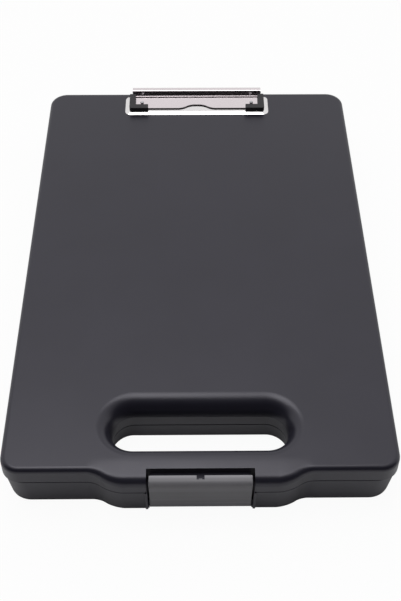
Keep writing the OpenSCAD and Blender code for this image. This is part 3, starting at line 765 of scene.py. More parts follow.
def lid_cavity():
    """The room inside the lid, less the walls of the opening and the latch's recess."""
    case, handle, _, _, _, at = case_places()
    ceiling = case.height - case.lid_wall
    edge = case.top_edge - case.lid_wall
    room = case_block("Lid room", case.lid_wall, case.seam - MM, ceiling)
    stations = front_stations(room, ceiling, at.front + case.lid_wall + TINY)
    stations = draw_in(room, stations, ceiling, lid_lean(ceiling))
    with editing(room):
        bevel_edges(on(z=ceiling), edge, 4)
    soften_handle(
        room, stations, edge, case.handle_in - case.lid_wall,
        ceiling - case.seam - case.handle_lip,
    )
    cut(room, stadium("Opening wall", case.lid_wall, case.seam - 2 * MM, ceiling + MM))
    with editing(room):
        flare_opening(
            room, case.lid_wall, ceiling,
            handle.flare_out - case.lid_wall, handle.flare_down - case.lid_wall,
        )
    cut(room, block(
        "Recess wall",
        (-at.lid_recess_half - case.lid_wall, at.handle - MM, case.seam - 2 * MM),
        (at.lid_recess_half + case.lid_wall, at.recess + case.lid_wall, case.height),
    ))
    return room


def latch_catch():
    _, _, latch, _, _, at = case_places()
    half = at.recess_half - latch.catch_in
    low, high = at.catch_top - latch.catch, at.catch_top
    piece = block("Catch", (-half, at.catch_front, low), (half, at.recess + MM, high))
    with editing(piece):
        pick_corners(lambda c: c.y > at.recess)
        move(z=-CATCH_SLOPE)
        bevel_edges(on(y=at.catch_front, z=low), latch.catch / 2, 1)
        bevel_edges(on(y=at.catch_front, z=high), CATCH_EDGE, 2)
    return piece


def base_shell():
    case, handle, latch, hinge, _, at = case_places()
    shell = case_block("Base", case.base_inset, 0, at.rim, case.corner_more)
    stations = front_stations(shell, 0, at.front + case.base_inset + TINY)
    draw_in(shell, stations, 0, case.draft, case.handle_draft - case.draft)
    with editing(shell):
        bevel_edges(on(z=0), case.foot_edge, 6)
        bevel_edges(on(z=at.rim), BASE_EDGE, 4)
    tongue_top = case.seam + case.tongue
    inside = case.lid_wall + lid_lean(tongue_top) + case.tongue_gap
    tongue = case_block("Tongue", inside, at.rim - TONGUE_ROOT, tongue_top)
    with editing(tongue):
        bevel_edges(on(z=tongue_top), TONGUE_EDGE, 2)
    add(shell, tongue)
    cut(shell, base_room())
    opening = stadium("Opening", 0, -MM, at.opening_rim + MM)
    spread_foot(opening, 0, -MM)
    cut(shell, opening)
    with editing(shell):
        bevel_edges(on_opening(handle.draft, 0, MM), handle.foot_flare, 6)
        bevel_edges(on_opening(0, at.opening_rim, 0.3 * MM), RIM_EDGE, 3)
    cut(shell, block(
        "Pocket",
        (-at.recess_half, at.handle - 4 * MM, -MM),
        (at.recess_half, at.pocket, tongue_top + MM),
    ))
    around = case.lid_wall + case.tongue_gap
    cut(shell, block(
        "Tongue gap",
        (-at.lid_recess_half - around, at.handle - MM, at.rim + APART),
        (at.lid_recess_half + around, at.recess + around, tongue_top + MM),
    ))
    for side in (-1, 1):
        add(shell, latch_ear(side))
        for off in (-at.base_knuckle, at.base_knuckle):
            add(shell, knuckle(
                side * at.hinge_x + off, hinge.base_knuckle, at.rear - case.base_inset - MM,
                case.seam - hinge.web, at.rim - APART,
            ))
        pin_middle = (side * at.hinge_x, at.hinge, case.seam)
        cut(shell, drum("Bore", hinge.pin / 2, at.hinge_length + MM, pin_middle, 32))
    cut(shell, drum(
        "Bore", latch.pin / 2, 2 * at.ear_half + MM, (0, at.latch_pin, latch.pin_height), 32
    ))
    return shell


def base_room():
    """The room inside the base, less the walls and the divider that stand in it."""
    case, _, _, _, _, at = case_places()
    inset = case.base_inset + case.base_wall
    high = case.seam + case.tongue + MM
    room = case_block("Base room", inset, case.floor, high, case.corner_more)
    stations = front_stations(room, case.floor, at.front + inset + TINY)
    draw_in(room, stations, case.floor, case.draft, case.handle_draft - case.draft)
    with editing(room):
        bevel_edges(on(z=case.floor), ROOM_EDGE, 4)
    wall = stadium("Opening wall", case.lid_wall, 0, at.opening_rim)
    spread_foot(wall, case.lid_wall, 0)
    cut(room, wall)
    cut(room, block(
        "Pocket wall",
        (-at.ear_half - case.base_wall, at.handle, 0),
        (at.ear_half + case.base_wall, at.pocket + case.base_wall, at.rim),
    ))
    divider = at.opening + at.opening_radius + case.lid_wall + case.divider_gap
    cut(room, block(
        "Divider",
        (-case.width / 2, divider, 0),
        (case.width / 2, divider + case.divider_wall, case.floor + case.divider_height),
    ))
    return room


def latch_ear(side):
    _, _, latch, _, _, at = case_places()
    near_x, far_x = sorted((side * (at.recess_half - APART), side * at.ear_half))
    foot = latch.pin_height - latch.ear_round
    ear = block("Ear", (near_x, at.ear_front, foot), (far_x, at.pocket + MM, at.rim - APART))
    with editing(ear):
        bevel_edges(on(y=at.ear_front, z=foot), latch.ear_round, 8)
        bevel_edges(
            lambda a, b: on(x=side * at.ear_half)(a, b) and max(a.y, b.y) < at.latch_pin,
            EAR_EDGE, 2,
        )
    boss = latch.gap - latch.boss_gap
    add(ear, drum(
        "Boss", latch.ear_round - APART, boss + MM,
        (side * (at.recess_half + MM - (boss + MM) / 2), at.latch_pin, latch.pin_height), 40,
    ))
    return ear


# ---- Latch ----

HOOK_EDGE = 0.6 * MM
LATCH_END_EDGE = 0.5 * MM
TAB_ROOT = 0.5 * MM
TAB_IN = MM


def latch_body():
    _, _, latch, _, _, at = case_places()
    half = latch.width / 2
    back = at.latch_face + latch.thickness
    under = at.latch_top - latch.hook
    foot = latch.pin_height
    shin = at.latch_pin - latch.barrel + TINY
    heel = at.latch_pin + latch.barrel / 2
    body = block("Latch", (-half, at.latch_face, foot), (half, back, at.latch_top))
    with editing(body):
        slice_all(z=under)
        pick_faces(lambda c, n: near(c.y, back) and c.z > under)
        extrude(y=at.hook_tip - back)
        merge_flat()
        pick_corners(on(y=at.latch_face, z=foot))
        move(y=shin - at.latch_face)
        pick_corners(on(y=back, z=foot))
        move(y=heel - back)
        bevel_edges(on(y=at.latch_face, z=at.latch_top), latch.lip, 14)
        bevel_edges(on(y=at.hook_tip, z=at.latch_top), HOOK_EDGE, 3)
        bevel_edges(
            lambda a, b: near(a.x, b.x) and near(abs(a.x), half)
            and (max(a.z, b.z) > under + TINY or max(a.y, b.y) < shin + TINY),
            LATCH_END_EDGE, 3,
        )
    add(body, drum("Barrel", latch.barrel, latch.width, (0, at.latch_pin, foot)))
    cut(body, block(
        "Notch",
        (-latch.notch / 2, at.hook_tip - latch.notch_depth, under - MM),
        (latch.notch / 2, at.hook_tip + MM, at.latch_top + MM),
    ))
    add(body, block(
        "Tab",
        (-latch.tab / 2, back - TAB_ROOT, under),
        (latch.tab / 2, at.hook_tip - TAB_IN, at.latch_top - latch.tab_drop),
    ))
    cut(body, drum(
        "Bore", latch.pin / 2 + BORE_ROOM, latch.width + MM, (0, at.latch_pin, foot), 32
    ))
    return body


# ---- Clip ----

PAN_CORNER = 4.5 * MM
PAN_EDGE = 0.35 * MM
DIMPLE_RIM = 1.6 * MM
EAR_GAP = 0.5 * MM

# The jaw's section: the shallow fall before the lever's foot, its bends, and its tail
FALL, FALL_WIDTH = 0.3 * MM, 1.2 * MM
LEVER_TILT, TAIL_TILT = math.radians(80), math.radians(55)
ROOT_IN, ROOT_BEND, CROWN_BEND, TAIL_BEND = 0.2 * MM, 0.8 * MM, 1.0 * MM, 1.6 * MM
ROOT_PARTS, BEND_PARTS = 8, 6
TAIL_OUT, TAIL_LENGTH = 0.6 * MM, 3.4 * MM

# The finger notch's outline, as shares of its half width
NOTCH_MOUTH, NOTCH_WIDE, NOTCH_FLAT = 1.5, 0.80, 0.34
NOTCH_BEND = 3.2 * MM

GRIP_CORNER = 2.1 * MM
GRIP_EDGE = 0.35 * MM


def base_plate():
    """The pressed pan under the jaw, with its rivet seats and the ears that hold the rod."""
    case, _, _, _, clip, at = case_places()
    half = clip.width / 2
    pan = block("Clip base", (-half, at.clip_front, case.height), (half, at.clip_back, at.pan))
    middle = (at.clip_front + at.clip_back) / 2
    across = 1 - 2 * clip.slope / clip.width
    with editing(pan):
        bevel_edges(lambda a, b: near(a.x, b.x) and near(a.y, b.y), PAN_CORNER, 5)
        pick_corners(on(z=at.pan))
        scale_about((0, middle, at.pan), across, 1 - 2 * clip.slope / clip.depth)
        bevel_edges(on(z=at.pan), PAN_EDGE, 3)
        pick_faces(lambda c, n: n.z < -LEVEL)
        bpy.ops.mesh.inset(thickness=clip.pan_sheet * 1.6)
        extrude(z=clip.pan - clip.pan_sheet)
        inner = 1 - 2 * (clip.slope - clip.pan_sheet * 1.2) / clip.depth
        scale_about((0, middle, case.height), across, inner)
    dimple = clip.rivet / 2 + DIMPLE_RIM
    for side in (-1, 1):
        place = (side * clip.rivet_x, at.rivet)
        add(pan, upright(
            "Seat", dimple + clip.pan_sheet, place, case.height, at.pan - clip.pan_sheet / 2
        ))
        add(pan, rod_ear(side))
        cut(pan, upright("Dimple", dimple, place, at.pan - clip.rivet_sink, at.pan + MM))
        cut(pan, upright("Rivet hole", clip.rivet / 2, place, case.height - MM, at.pan + MM))
    cut(pan, drum("Bore", clip.rod / 2, 2 * at.jaw_half + 2 * MM, (0, at.rod, at.rod_height), 24))
    return pan


def rod_ear(side):
    case, _, _, _, clip, at = case_places()
    radius = clip.rod / 2 + clip.rod_ear
    x = side * (at.jaw_half - clip.sheet - EAR_GAP - clip.pan_sheet / 2)
    ear = drum("Rod ear", radius, clip.pan_sheet, (x, at.rod, at.rod_height), 40)
    half = clip.pan_sheet / 2
    add(ear, block(
        "Ear leg",
        (x - half, at.rod - radius, case.height),
        (x + half, at.rod + radius, at.rod_height),
    ))
    add(ear, block(
        "Ear foot",
        (x - half, at.rod - clip.lever_in + clip.grip_gap, case.height),
        (x + half, at.rod + radius, at.pan + clip.grip_gap / 2),
    ))
    return ear


def arc(y, z, out, up, angle, steps):
    """Places along a bend that leaves a level run at y and z, its radius signed out and up."""
    turned = (angle * step / steps for step in range(steps + 1))
    return [(y + out * math.sin(turn), z + up * (1 - math.cos(turn))) for turn in turned]


def jaw_path():
    """The jaw's section from front edge to lever's tail, along the sheet's middle."""
    _, _, _, _, clip, at = case_places()
    middle = at.jaw_top - clip.sheet / 2
    foot = middle - FALL
    top = at.lever_top - clip.sheet / 2
    root_y = at.rod - clip.lever_in + ROOT_IN
    bends = ROOT_BEND + CROWN_BEND
    rise = top - foot - bends * (1 - math.cos(LEVER_TILT))
    crown_y = root_y + bends * math.sin(LEVER_TILT) + rise / math.tan(LEVER_TILT)
    path = [(at.jaw_front, middle), (root_y - FALL_WIDTH, middle)]
    path += arc(root_y, foot, ROOT_BEND, ROOT_BEND, LEVER_TILT, ROOT_PARTS)
    path += reversed(arc(crown_y, top, -CROWN_BEND, -CROWN_BEND, LEVER_TILT, BEND_PARTS))
    path += arc(at.rod + TAIL_OUT, top, TAIL_BEND, -TAIL_BEND, TAIL_TILT, BEND_PARTS)
    y, z = path[-1]
    path.append((y + TAIL_LENGTH * math.cos(TAIL_TILT), z - TAIL_LENGTH * math.sin(TAIL_TILT)))
    return path


def jaw_pressing():
    """The jaw, extruded along its section as a sheet and given its thickness."""
    _, _, _, _, clip, at = case_places()
    path = jaw_path()
    half = at.jaw_half
    (front, low), (back, _) = path[:2]
    middle = (0, (front + back) / 2, low)
    bpy.ops.object.select_all(action="DESELECT")
    bpy.ops.mesh.primitive_plane_add(size=1, location=middle)
    jaw = named("Jaw")
    with editing(jaw):
        bpy.ops.mesh.select_all(action="SELECT")
        scale_about(middle, 2 * half, back - front)
        pick_corners(on(y=back))
        for (ya, za), (yb, zb) in zip(path[1:], path[2:]):
            if math.hypot(yb - ya, zb - za) > TINY:
                extrude(y=yb - ya, z=zb - za)
    finished_by(jaw, "SOLIDIFY", thickness=clip.sheet, offset=0, use_even_offset=True)
    with editing(jaw):
        face_outwards()
        under = at.jaw_top - clip.sheet
        pick_corners(lambda c: c.z < under - TINY)
        scale_about((0, 0, under), z=0)
        for y in (at.jaw_front + clip.lip, at.jaw_front + clip.lip + clip.lip_slope):
            slice_all(y=y)
        pick_corners(lambda c: c.y < at.jaw_front + clip.lip + TINY)
        move(z=-clip.lip_dip)
    for side in (-1, 1):
        x = side * (half - clip.sheet / 2)
        cheek = drum("Cheek", clip.rod / 2 + clip.cheek, clip.sheet, (x, at.rod, at.rod_height), 40)
        add(cheek, block(
            "Cheek arm",
            (x - clip.sheet / 2, at.rod - clip.rod / 2, at.rod_height),
            (x + clip.sheet / 2, at.rod + clip.rod / 2, at.lever_top - clip.sheet / 2),
        ))
        add(jaw, cheek)
    cut(jaw, finger_notch())
    cut(jaw, drum("Bore", clip.rod / 2 + BORE_ROOM, 2 * half + MM, (0, at.rod, at.rod_height), 24))
    return jaw


def finger_notch():
    """The cutter for the jaw's finger notch: a wide mouth that eases into a flat end."""
    _, _, _, _, clip, at = case_places()
    half = clip.finger_width / 2
    low, high = at.jaw_top - clip.sheet - MM, at.jaw_top + MM
    mouth, wide, flat = (half * share for share in (NOTCH_MOUTH, NOTCH_WIDE, NOTCH_FLAT))
    front, end = at.jaw_front, at.jaw_front + clip.finger_depth
    cutter = block("Finger notch", (-mouth, front - 2 * MM, low), (mouth, front, high))
    with editing(cutter):
        for x in (-wide, wide):
            slice_all(x=x)
        pick_faces(lambda c, n: near(c.y, front) and abs(c.x) < MM)
        extrude(y=clip.finger_depth)
        pick_corners(on(y=end))
        scale_about((0, 0, 0), x=flat / wide)
        for x, y in ((flat, end), (wide, front)):
            bevel_edges(on_sides(x, y), NOTCH_BEND, 8)
    return cutter


def clip_grip(side):
    """A soft L over the jaw's corner, with its pad under the jaw."""
    _, _, _, _, clip, at = case_places()
    top, under = at.jaw_top + clip.grip_top, at.jaw_top - clip.sheet
    front = at.jaw_front - clip.grip_over
    out = at.jaw_half + clip.grip_wrap
    inside = out - clip.grip_length
    foot = at.pan + clip.grip_gap
    arm_back = at.rod - clip.lever_in
    grip = block("Grip", (inside, front, foot), (out, front + clip.grip_width, top))
    add(grip, block("Arm", (out - clip.grip_width, front, foot), (out, arm_back, top)))
    add(grip, block("Pad", (inside, front, foot), (out, at.jaw_front + clip.grip_pad, under)))
    cut(grip, block(
        "Sheet room", (inside - MM, at.jaw_front, under), (at.jaw_half, at.rod, at.jaw_top)
    ))
    with editing(grip):
        bevel_edges(on(x=out, y=front), GRIP_CORNER, 5)
    finished_by(
        grip, "BEVEL", width=GRIP_EDGE, segments=3, limit_method="ANGLE",
        angle_limit=math.radians(50),
    )
    if side < 0:
        with editing(grip):
            bpy.ops.mesh.select_all(action="SELECT")
            scale_about((0, 0, 0), x=-1)
            face_outwards()
    return grip


# ---- Finishes ----


class Flow:
    """A value on its way through a node tree. Plain arithmetic on it adds Math nodes."""

    def __init__(self, nodes, socket):
        self.nodes = nodes
        self.socket = socket

    def _maths(self, operation, *values, **settings):
        return self.nodes.node(
            "ShaderNodeMath", {"operation": operation, **settings}, dict(enumerate(values))
        )

    def __add__(self, other):
        return self._maths("ADD", self, other)

    __radd__ = __add__

    def __sub__(self, other):
        return self._maths("SUBTRACT", self, other)

    def __rsub__(self, other):
        return self._maths("SUBTRACT", other, self)

    def __mul__(self, other):
        return self._maths("MULTIPLY", self, other)

    __rmul__ = __mul__

    def __truediv__(self, other):
        return self._maths("DIVIDE", self, other)

    def __rtruediv__(self, other):
        return self._maths("DIVIDE", other, self)

    def __pow__(self, other):
        return self._maths("POWER", self, other)

    def clamped(self):
        return self._maths("MULTIPLY", self, 1.0, use_clamp=True)

    def above(self, low, high):
        """0 below low, 1 above high, and smooth between."""
        return self.nodes.node(
            "ShaderNodeMapRange",
            {"interpolation_type": "SMOOTHSTEP"},
            {"Value": self, "From Min": low, "From Max": high},
        )


class Nodes:
    """A node tree, emptied, with its output and the one way its nodes are made."""

    def __init__(self, tree, output):
        self.tree = tree
        tree.nodes.clear()
        self.output = tree.nodes.new(output)

    def feed(self, socket, value):
        if isinstance(value, Flow):
            self.tree.links.new(value.socket, socket)
        elif isinstance(value, (tuple, list)) and len(value) == 3 and socket.type == "RGBA":
            socket.default_value = (*value, 1)
        else:
            socket.default_value = value

    def node(self, kind, settings=None, inputs=None, outlet=0):
        made = self.tree.nodes.new(kind)
        for key, value in (settings or {}).items():
            if key == "stops":
                ramp = made.color_ramp
                while len(ramp.elements) < len(value):
                    ramp.elements.new(0.5)
                for element, (place, shade) in zip(ramp.elements, value):
                    element.position = place
                    element.color = (*shade, 1)
            else:
                setattr(made, key, value)
        for key, value in (inputs or {}).items():
            self.feed(made.inputs[key], value)
        return Flow(self, made.outputs[outlet])

    def along(self, place, axis):
        """One coordinate of a place or direction."""
        return self.node("ShaderNodeSeparateXYZ", None, {0: place}, axis)

    def ray(self, kind):
        """1 where the surface is met by such a ray, else 0."""
        return self.node("ShaderNodeLightPath", outlet=f"Is {kind} Ray")

    def seen(self):
        """1 where the camera looks, straight or through something clear, else 0."""
        return (self.ray("Camera") + self.ray("Transmission")).clamped()

    def blend(self, factor, first, second):
        return self.node("ShaderNodeMixShader", None, {0: factor, 1: first, 2: second})

    def show(self, shader):
        self.feed(self.output.inputs["Surface"], shader)


class Finish(Nodes):
    """A material with one shader."""

    def __init__(self, name):
        self.material = bpy.data.materials.new(name)
        self.material.use_nodes = True
        super().__init__(self.material.node_tree, "ShaderNodeOutputMaterial")
        self.shader = self.tree.nodes.new("ShaderNodeBsdfPrincipled")
        self.show(Flow(self, self.shader.outputs[0]))
        self.place = self.node("ShaderNodeTexCoord", outlet="Object")

    def stretched(self, x=1.0, y=1.0, z=1.0):
        """The surface's place with each direction scaled."""
        return self.node("ShaderNodeMapping", None, {"Vector": self.place, "Scale": (x, y, z)})

    def noise(self, scale, detail=2.0, roughness=0.5, place=None, distortion=0.0):
        return self.node(
            "ShaderNodeTexNoise",
            None,
            {
                "Vector": place or self.place, "Scale": scale, "Detail": detail,
                "Roughness": roughness, "Distortion": distortion,
            },
        )

    def mix(self, factor, a, b):
        return self.node(
            "ShaderNodeMix", {"data_type": "RGBA"}, {0: factor, 6: a, 7: b}, outlet=2
        )

    def bump(self, height, strength, distance, under=None):
        inputs = {"Height": height, "Strength": strength, "Distance": distance}
        if under:
            inputs["Normal"] = under
        return self.node("ShaderNodeBump", None, inputs)

    def surface(self, **values):
        for name, value in values.items():
            self.feed(self.shader.inputs[name.replace("_", " ")], value)
        return self.material


def tinted(shade, factor):
    return tuple(min(c * factor, 1) for c in shade)


def satin_plastic(name, shade, rough):
    """Moulded plastic with a fine spark-eroded grain, faint mottling and a few hairline scuffs."""
    finish = Finish(name)
    grit = finish.noise(scale=2600, detail=3, roughness=0.6)
    cloud = finish.noise(scale=22, detail=3, roughness=0.55)
    scuff = finish.noise(
        scale=95, detail=4, roughness=0.7, place=finish.stretched(y=0.06), distortion=0.4
    ).above(0.66, 0.74)
    cross = finish.noise(
        scale=120, detail=4, roughness=0.7, place=finish.stretched(x=0.05), distortion=0.3
    ).above(0.69, 0.76)
    marks = (scuff + cross).clamped()
    body = finish.mix(cloud.above(0.3, 0.7), tinted(shade, 0.94), tinted(shade, 1.06))
    body = finish.mix(grit.above(0.35, 0.75) * 0.35, body, tinted(shade, 1.35))
    body = finish.mix(marks * 0.25, body, tinted(shade, 1.6))
    roughness = rough + (cloud - 0.5) * 0.10 + (grit - 0.5) * 0.08 - marks * 0.06
    return finish.surface(
        Base_Color=body,
        Roughness=roughness,
        Specular_IOR_Level=0.6,
        Specular_Tint=(0.94, 0.92, 1.0, 1.0),
        Normal=finish.bump(grit, strength=0.22, distance=0.08 * MM),
    )


# Reach of the painted highlight on the latch's lip: forward from the hook's tip, and down from the
# latch's top
PAINTED_HIGHLIGHT_DEPTH, PAINTED_HIGHLIGHT_DROP = 3.5 * MM, 1.5 * MM


def latch_plastic(name, shade):
    """Satin plastic with fine tool lines along the latch, and a painted highlight that makes the
    top of its lip paler towards the rear edge.
    """
    finish = Finish(name)
    fine, coarse = finish.stretched(x=0.01, y=0.2), finish.stretched(x=0.02, y=0.2)
    lines = finish.noise(scale=900, detail=2, roughness=0.5, place=fine)
    broad = finish.noise(scale=260, detail=2, roughness=0.5, place=coarse)
    grit = finish.noise(scale=2600, detail=3, roughness=0.6)
    cloud = finish.noise(scale=30, detail=3, roughness=0.5)
    body = finish.mix(broad.above(0.35, 0.65), tinted(shade, 0.90), tinted(shade, 1.10))
    body = finish.mix(cloud.above(0.3, 0.7) * 0.4, body, tinted(shade, 1.12))
    _, _, _, _, _, at = case_places()
    # Painted highlight: the lip's top is made 1.75 times paler towards its rear edge, standing in
    # for the light it catches there
    back = finish.along(finish.place, "Y").above(at.hook_tip - PAINTED_HIGHLIGHT_DEPTH, at.hook_tip)
    top = finish.along(finish.place, "Z").above(at.latch_top - PAINTED_HIGHLIGHT_DROP, at.latch_top)
    body = finish.mix(back * top, body, tinted(shade, 1.75))
    roughness = 0.55 + (lines - 0.5) * 0.16 + (grit - 0.5) * 0.08
    normal = finish.bump(grit, strength=0.18, distance=0.08 * MM)
    return finish.surface(
        Base_Color=body,
        Roughness=roughness,
        Specular_IOR_Level=0.45,
        Normal=finish.bump(lines, strength=0.20, distance=0.12 * MM, under=normal),
    )


def bright_plating(name, shade, rough):
    """Plated sheet metal: long rolling lines, a slight orange peel and small dull specks."""
    finish = Finish(name)
    rolled = finish.noise(
        scale=420, detail=3, roughness=0.6, place=finish.stretched(x=0.02)
    )
    peel = finish.noise(scale=160, detail=2, roughness=0.5)
    specks = finish.noise(scale=900, detail=2, roughness=0.6).above(0.68, 0.76)
    handled = finish.noise(scale=35, detail=4, roughness=0.6).above(0.42, 0.72)
    body = finish.mix(handled * 0.35, shade, tinted(shade, 0.93))
    body = finish.mix(specks * 0.5, body, tinted(shade, 0.72))
    roughness = rough + (rolled - 0.5) * 0.08 + handled * 0.04 + specks * 0.18
    normal = finish.bump(peel, strength=0.02, distance=0.15 * MM)
    return finish.surface(
        Base_Color=body,
        Metallic=1.0,
        Roughness=roughness,
        Normal=finish.bump(rolled, strength=0.03, distance=0.03 * MM, under=normal),
    )


def turned_steel(name, shade):
    """Drawn wire and turned pins: fine rings across the bar and a trace of oil film."""
    finish = Finish(name)
    rings = finish.noise(
        scale=1500, detail=2, roughness=0.5, place=finish.stretched(y=0.05, z=0.05)
    )
    film = finish.noise(scale=140, detail=3, roughness=0.6).above(0.4, 0.7)
    body = finish.mix(film * 0.5, shade, tinted(shade, 0.8))
    return finish.surface(
        Base_Color=body,
        Metallic=1.0,
        Roughness=0.26 + (rings - 0.5) * 0.2 + film * 0.1,
        Normal=finish.bump(rings, strength=0.1, distance=0.03 * MM),
    )


def moulded_rubber(name, shade):
    """Dull dipped rubber with a fine skin and a dusty bloom."""
    finish = Finish(name)
    skin = finish.noise(scale=1400, detail=3, roughness=0.6)
    bloom = finish.noise(scale=180, detail=4, roughness=0.6).above(0.45, 0.7)
    body = finish.mix(bloom * 0.4, shade, tinted(shade, 1.7))
    return finish.surface(
        Base_Color=body,
        Roughness=0.55 + (skin - 0.5) * 0.15 + bloom * 0.08,
        Specular_IOR_Level=0.4,
        Normal=finish.bump(skin, strength=0.25, distance=0.1 * MM),
    )


FINISHES = {}


def make_finishes():
    shades = bpy.context.scene.clipboard_colours
    FINISHES.update(
        lid=satin_plastic("Lid plastic", tuple(shades.lid), rough=0.34),
        base=satin_plastic("Base plastic", tuple(shades.base), rough=0.40),
        latch=latch_plastic("Latch plastic", tuple(shades.latch)),
        plate=bright_plating("Plated base", tuple(shades.plate), rough=0.16),
        jaw=bright_plating("Plated jaw", tuple(shades.jaw), rough=0.11),
        steel=turned_steel("Turned steel", tuple(shades.steel)),
        grip=moulded_rubber("Grip rubber", tuple(shades.grip)),
    )


# ---- Operators ----


class CLIPBOARD_OT_finishes(bpy.types.Operator):
    """Mix the finishes that the pieces wear"""

    bl_idname = "clipboard.finishes"
    bl_label = "Finishes"

    def execute(self, context):
        make_finishes()
        return {"FINISHED"}


class CLIPBOARD_OT_lid(bpy.types.Operator):
    """Model the lid, whose top is the writing board"""

    bl_idname = "clipboard.lid"
    bl_label = "Lid"

    def execute(self, context):
        finish_piece(
            lid_shell(), angle=38, name="lid_moulding", body="lid", finish="lid",
            node="lid_shell",
        )
        return {"FINISHED"}


class CLIPBOARD_OT_base(bpy.types.Operator):
    """Model the base with its tray, divider and latch ears"""

    bl_idname = "clipboard.base"
    bl_label = "Base"

    def execute(self, context):
        finish_piece(
            base_shell(), angle=38, name="base_moulding", body="base", finish="base",
            node="base_shell",
        )
        return {"FINISHED"}


class CLIPBOARD_OT_latch(bpy.types.Operator):
    """Model the latch with its lip, hook and barrel"""

    bl_idname = "clipboard.latch"
    bl_label = "Latch"

    def execute(self, context):
        finish_piece(
            latch_body(), angle=38, name="latch_plate", body="latch", finish="latch",
            node="latch",
        )
        return {"FINISHED"}


class CLIPBOARD_OT_clip(bpy.types.Operator):
    """Model the clip's base plate, jaw and grips"""

    bl_idname = "clipboard.clip"
    bl_label = "Clip"

    def execute(self, context):
        finish_piece(
            base_plate(), angle=25, name="clip_pan", body="lid", finish="plate",
            node="clip_base_plate",
        )
        finish_piece(
            jaw_pressing(), angle=30, name="jaw_pressing", body="jaw", finish="jaw",
            node="clip_jaw",
        )
        for side, name in ((1, "right"), (-1, "left")):
            finish_piece(
                clip_grip(side), angle=40, name=f"grip_cover_{name}", body="jaw",
                finish="grip", node=f"clip_grip_{name}",
            )
        return {"FINISHED"}


class CLIPBOARD_OT_fasteners(bpy.types.Operator):
    """Finish the pins, rivets, rod, washers and springs"""

    bl_idname = "clipboard.fasteners"
    bl_label = "Fasteners"

    def execute(self, context):
        for name in (
            "latch_pin", "hinge_pin_left", "hinge_pin_right", "clip_rivets", "rivet_washers",
            "clip_pivot_rod", "clip_spring_left", "clip_spring_right", "grip_rivets",
        ):
            dress(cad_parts[name], "steel")
        return {"FINISHED"}


class CLIPBOARD_OT_studio(bpy.types.Operator):
    """Set the floor, the lights, the surroundings and the camera"""

    bl_idname = "clipboard.studio"
    bl_label = "Studio"

    def execute(self, context):
        studio_floor()
        studio_lamp()
        studio_world()
        studio_camera()
        context.scene.view_settings.view_transform = "Standard"
        return {"FINISHED"}


FLOOR_SIZE, FLOOR_DROP = 8, 0.05 * MM
FLOOR_SEEN, FLOOR_MIRRORED = 0.95, 0.05  # shares of plain white that the camera and gloss see


def studio_floor():
    bpy.ops.object.select_all(action="DESELECT")
    bpy.ops.mesh.primitive_plane_add(size=FLOOR_SIZE, location=(0, 0, -FLOOR_DROP))
    floor = named("studio_floor")
    shade = tuple(bpy.context.scene.clipboard_colours.floor)
    finish = Finish("Studio floor")
    finish.surface(Base_Color=shade, Roughness=0.9, Specular_IOR_Level=0.0)
    lit = Flow(finish, finish.shader.outputs[0])
    glow = finish.node("ShaderNodeEmission", None, {"Strength": 1.0})
    share = finish.seen() * FLOOR_SEEN + finish.ray("Glossy") * FLOOR_MIRRORED
    finish.show(finish.blend(share, lit, glow))
    floor.data.materials.append(finish.material)


LAMP_PLACE = Vector((-0.2, 0.05, 1.6))
LAMP_WIDTH, LAMP_DEPTH, LAMP_WATTS = 1.0, 0.9, 8.5


def studio_lamp():
    """One large soft box overhead, aimed at the middle of the floor."""
    data = bpy.data.lights.new("Overhead box", "AREA")
    data.shape = "RECTANGLE"
    data.size, data.size_y = LAMP_WIDTH, LAMP_DEPTH
    data.energy = LAMP_WATTS
    lamp = bpy.data.objects.new("Overhead box", data)
    bpy.context.scene.collection.objects.link(lamp)
    lamp.location = LAMP_PLACE
    lamp.rotation_euler = (-LAMP_PLACE).to_track_quat("-Z", "Y").to_euler()


# The room's level from the near horizon (0) over the top to the far one (1)
ROOM_LEVELS = ((0.00, 0.010), (0.34, 0.015), (0.46, 0.5), (0.60, 0.9), (0.80, 0.85), (1.0, 0.8))


def studio_world():
    """A white room, dark on the near side so that the edges keep their shape."""
    world = bpy.data.worlds.new("Studio")
    world.use_nodes = True
    bpy.context.scene.world = world
    room = Nodes(world.node_tree, "ShaderNodeOutputWorld")
    way = room.node("ShaderNodeTexCoord", outlet="Generated")
    height, ahead = room.along(way, "Z"), room.along(way, "Y")
    turn = room.node("ShaderNodeMath", {"operation": "ARCTAN2"}, {0: height, 1: ahead * -1.0})
    sky = room.node(
        "ShaderNodeValToRGB",
        {"stops": tuple((place, (level, level, level)) for place, level in ROOM_LEVELS)},
        {"Fac": turn / math.pi},
    )
    fill = room.node("ShaderNodeBackground", None, {"Color": sky, "Strength": 1.0})
    white = room.node("ShaderNodeBackground", None, {"Color": (1, 1, 1), "Strength": 1.0})
    room.show(room.blend(room.seen(), fill, white))


CAMERA_PLACE = Vector((-4.53, -520.6, 576.6)) * MM
CAMERA_YAW, CAMERA_PITCH, CAMERA_ROLL = 0.012232, 0.850258, 0.004424
CAMERA_LENS, CAMERA_SENSOR = 59.63, 36
CAMERA_REACH = (0.01, 50)


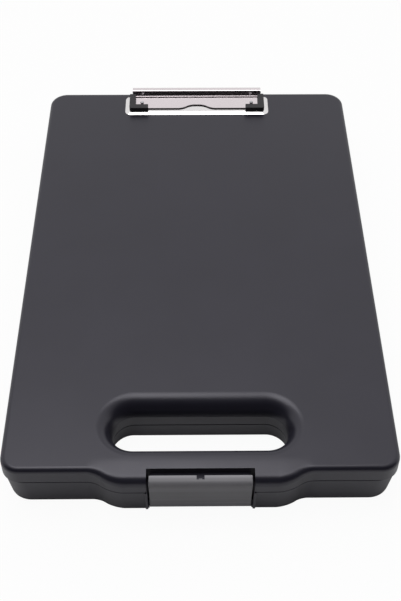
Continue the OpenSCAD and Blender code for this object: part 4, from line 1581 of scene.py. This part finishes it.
def studio_camera():
    data = bpy.data.cameras.new("Camera")
    data.sensor_width = CAMERA_SENSOR
    data.lens = CAMERA_LENS
    data.clip_start, data.clip_end = CAMERA_REACH
    camera = bpy.data.objects.new("Camera", data)
    bpy.context.scene.collection.objects.link(camera)
    yaw, pitch, roll = CAMERA_YAW, CAMERA_PITCH, CAMERA_ROLL
    level = math.cos(pitch)
    ahead = Vector((math.sin(yaw) * level, math.cos(yaw) * level, -math.sin(pitch)))
    right = Vector((math.cos(yaw), -math.sin(yaw), 0))
    up = right.cross(ahead)
    right, up = (
        math.cos(roll) * right + math.sin(roll) * up,
        math.cos(roll) * up - math.sin(roll) * right,
    )
    camera.rotation_mode = "QUATERNION"
    camera.rotation_quaternion = Matrix((right, up, -ahead)).transposed().to_quaternion()
    camera.location = CAMERA_PLACE
    bpy.context.scene.camera = camera


class CLIPBOARD_PT_panel(bpy.types.Panel):
    """The buttons for the box's steps, in the 3D view's sidebar"""

    bl_idname = "CLIPBOARD_PT_panel"
    bl_label = "Clipboard box"
    bl_space_type = "VIEW_3D"
    bl_region_type = "UI"
    bl_category = "Clipboard box"

    def draw(self, context):
        for step in STEPS:
            self.layout.operator(step.bl_idname)


GROUPS = {
    "case_sizes": CaseSizes,
    "handle_sizes": HandleSizes,
    "latch_sizes": LatchSizes,
    "hinge_sizes": HingeSizes,
    "clip_sizes": ClipSizes,
    "clipboard_colours": Colours,
}
STEPS = (
    CLIPBOARD_OT_finishes,
    CLIPBOARD_OT_lid,
    CLIPBOARD_OT_base,
    CLIPBOARD_OT_latch,
    CLIPBOARD_OT_clip,
    CLIPBOARD_OT_fasteners,
    CLIPBOARD_OT_studio,
)


def register():
    for kind in (*GROUPS.values(), *STEPS, CLIPBOARD_PT_panel):
        bpy.utils.register_class(kind)
    for name, group in GROUPS.items():
        setattr(bpy.types.Scene, name, bpy.props.PointerProperty(type=group))


def unregister():
    for name in GROUPS:
        delattr(bpy.types.Scene, name)
    for kind in (CLIPBOARD_PT_panel, *reversed(STEPS), *reversed(GROUPS.values())):
        bpy.utils.unregister_class(kind)


def main():
    register()
    bpy.context.view_layer.update()
    for step in STEPS:
        group, name = step.bl_idname.split(".")
        getattr(getattr(bpy.ops, group), name)()


if __name__ == "__main__":
    main()
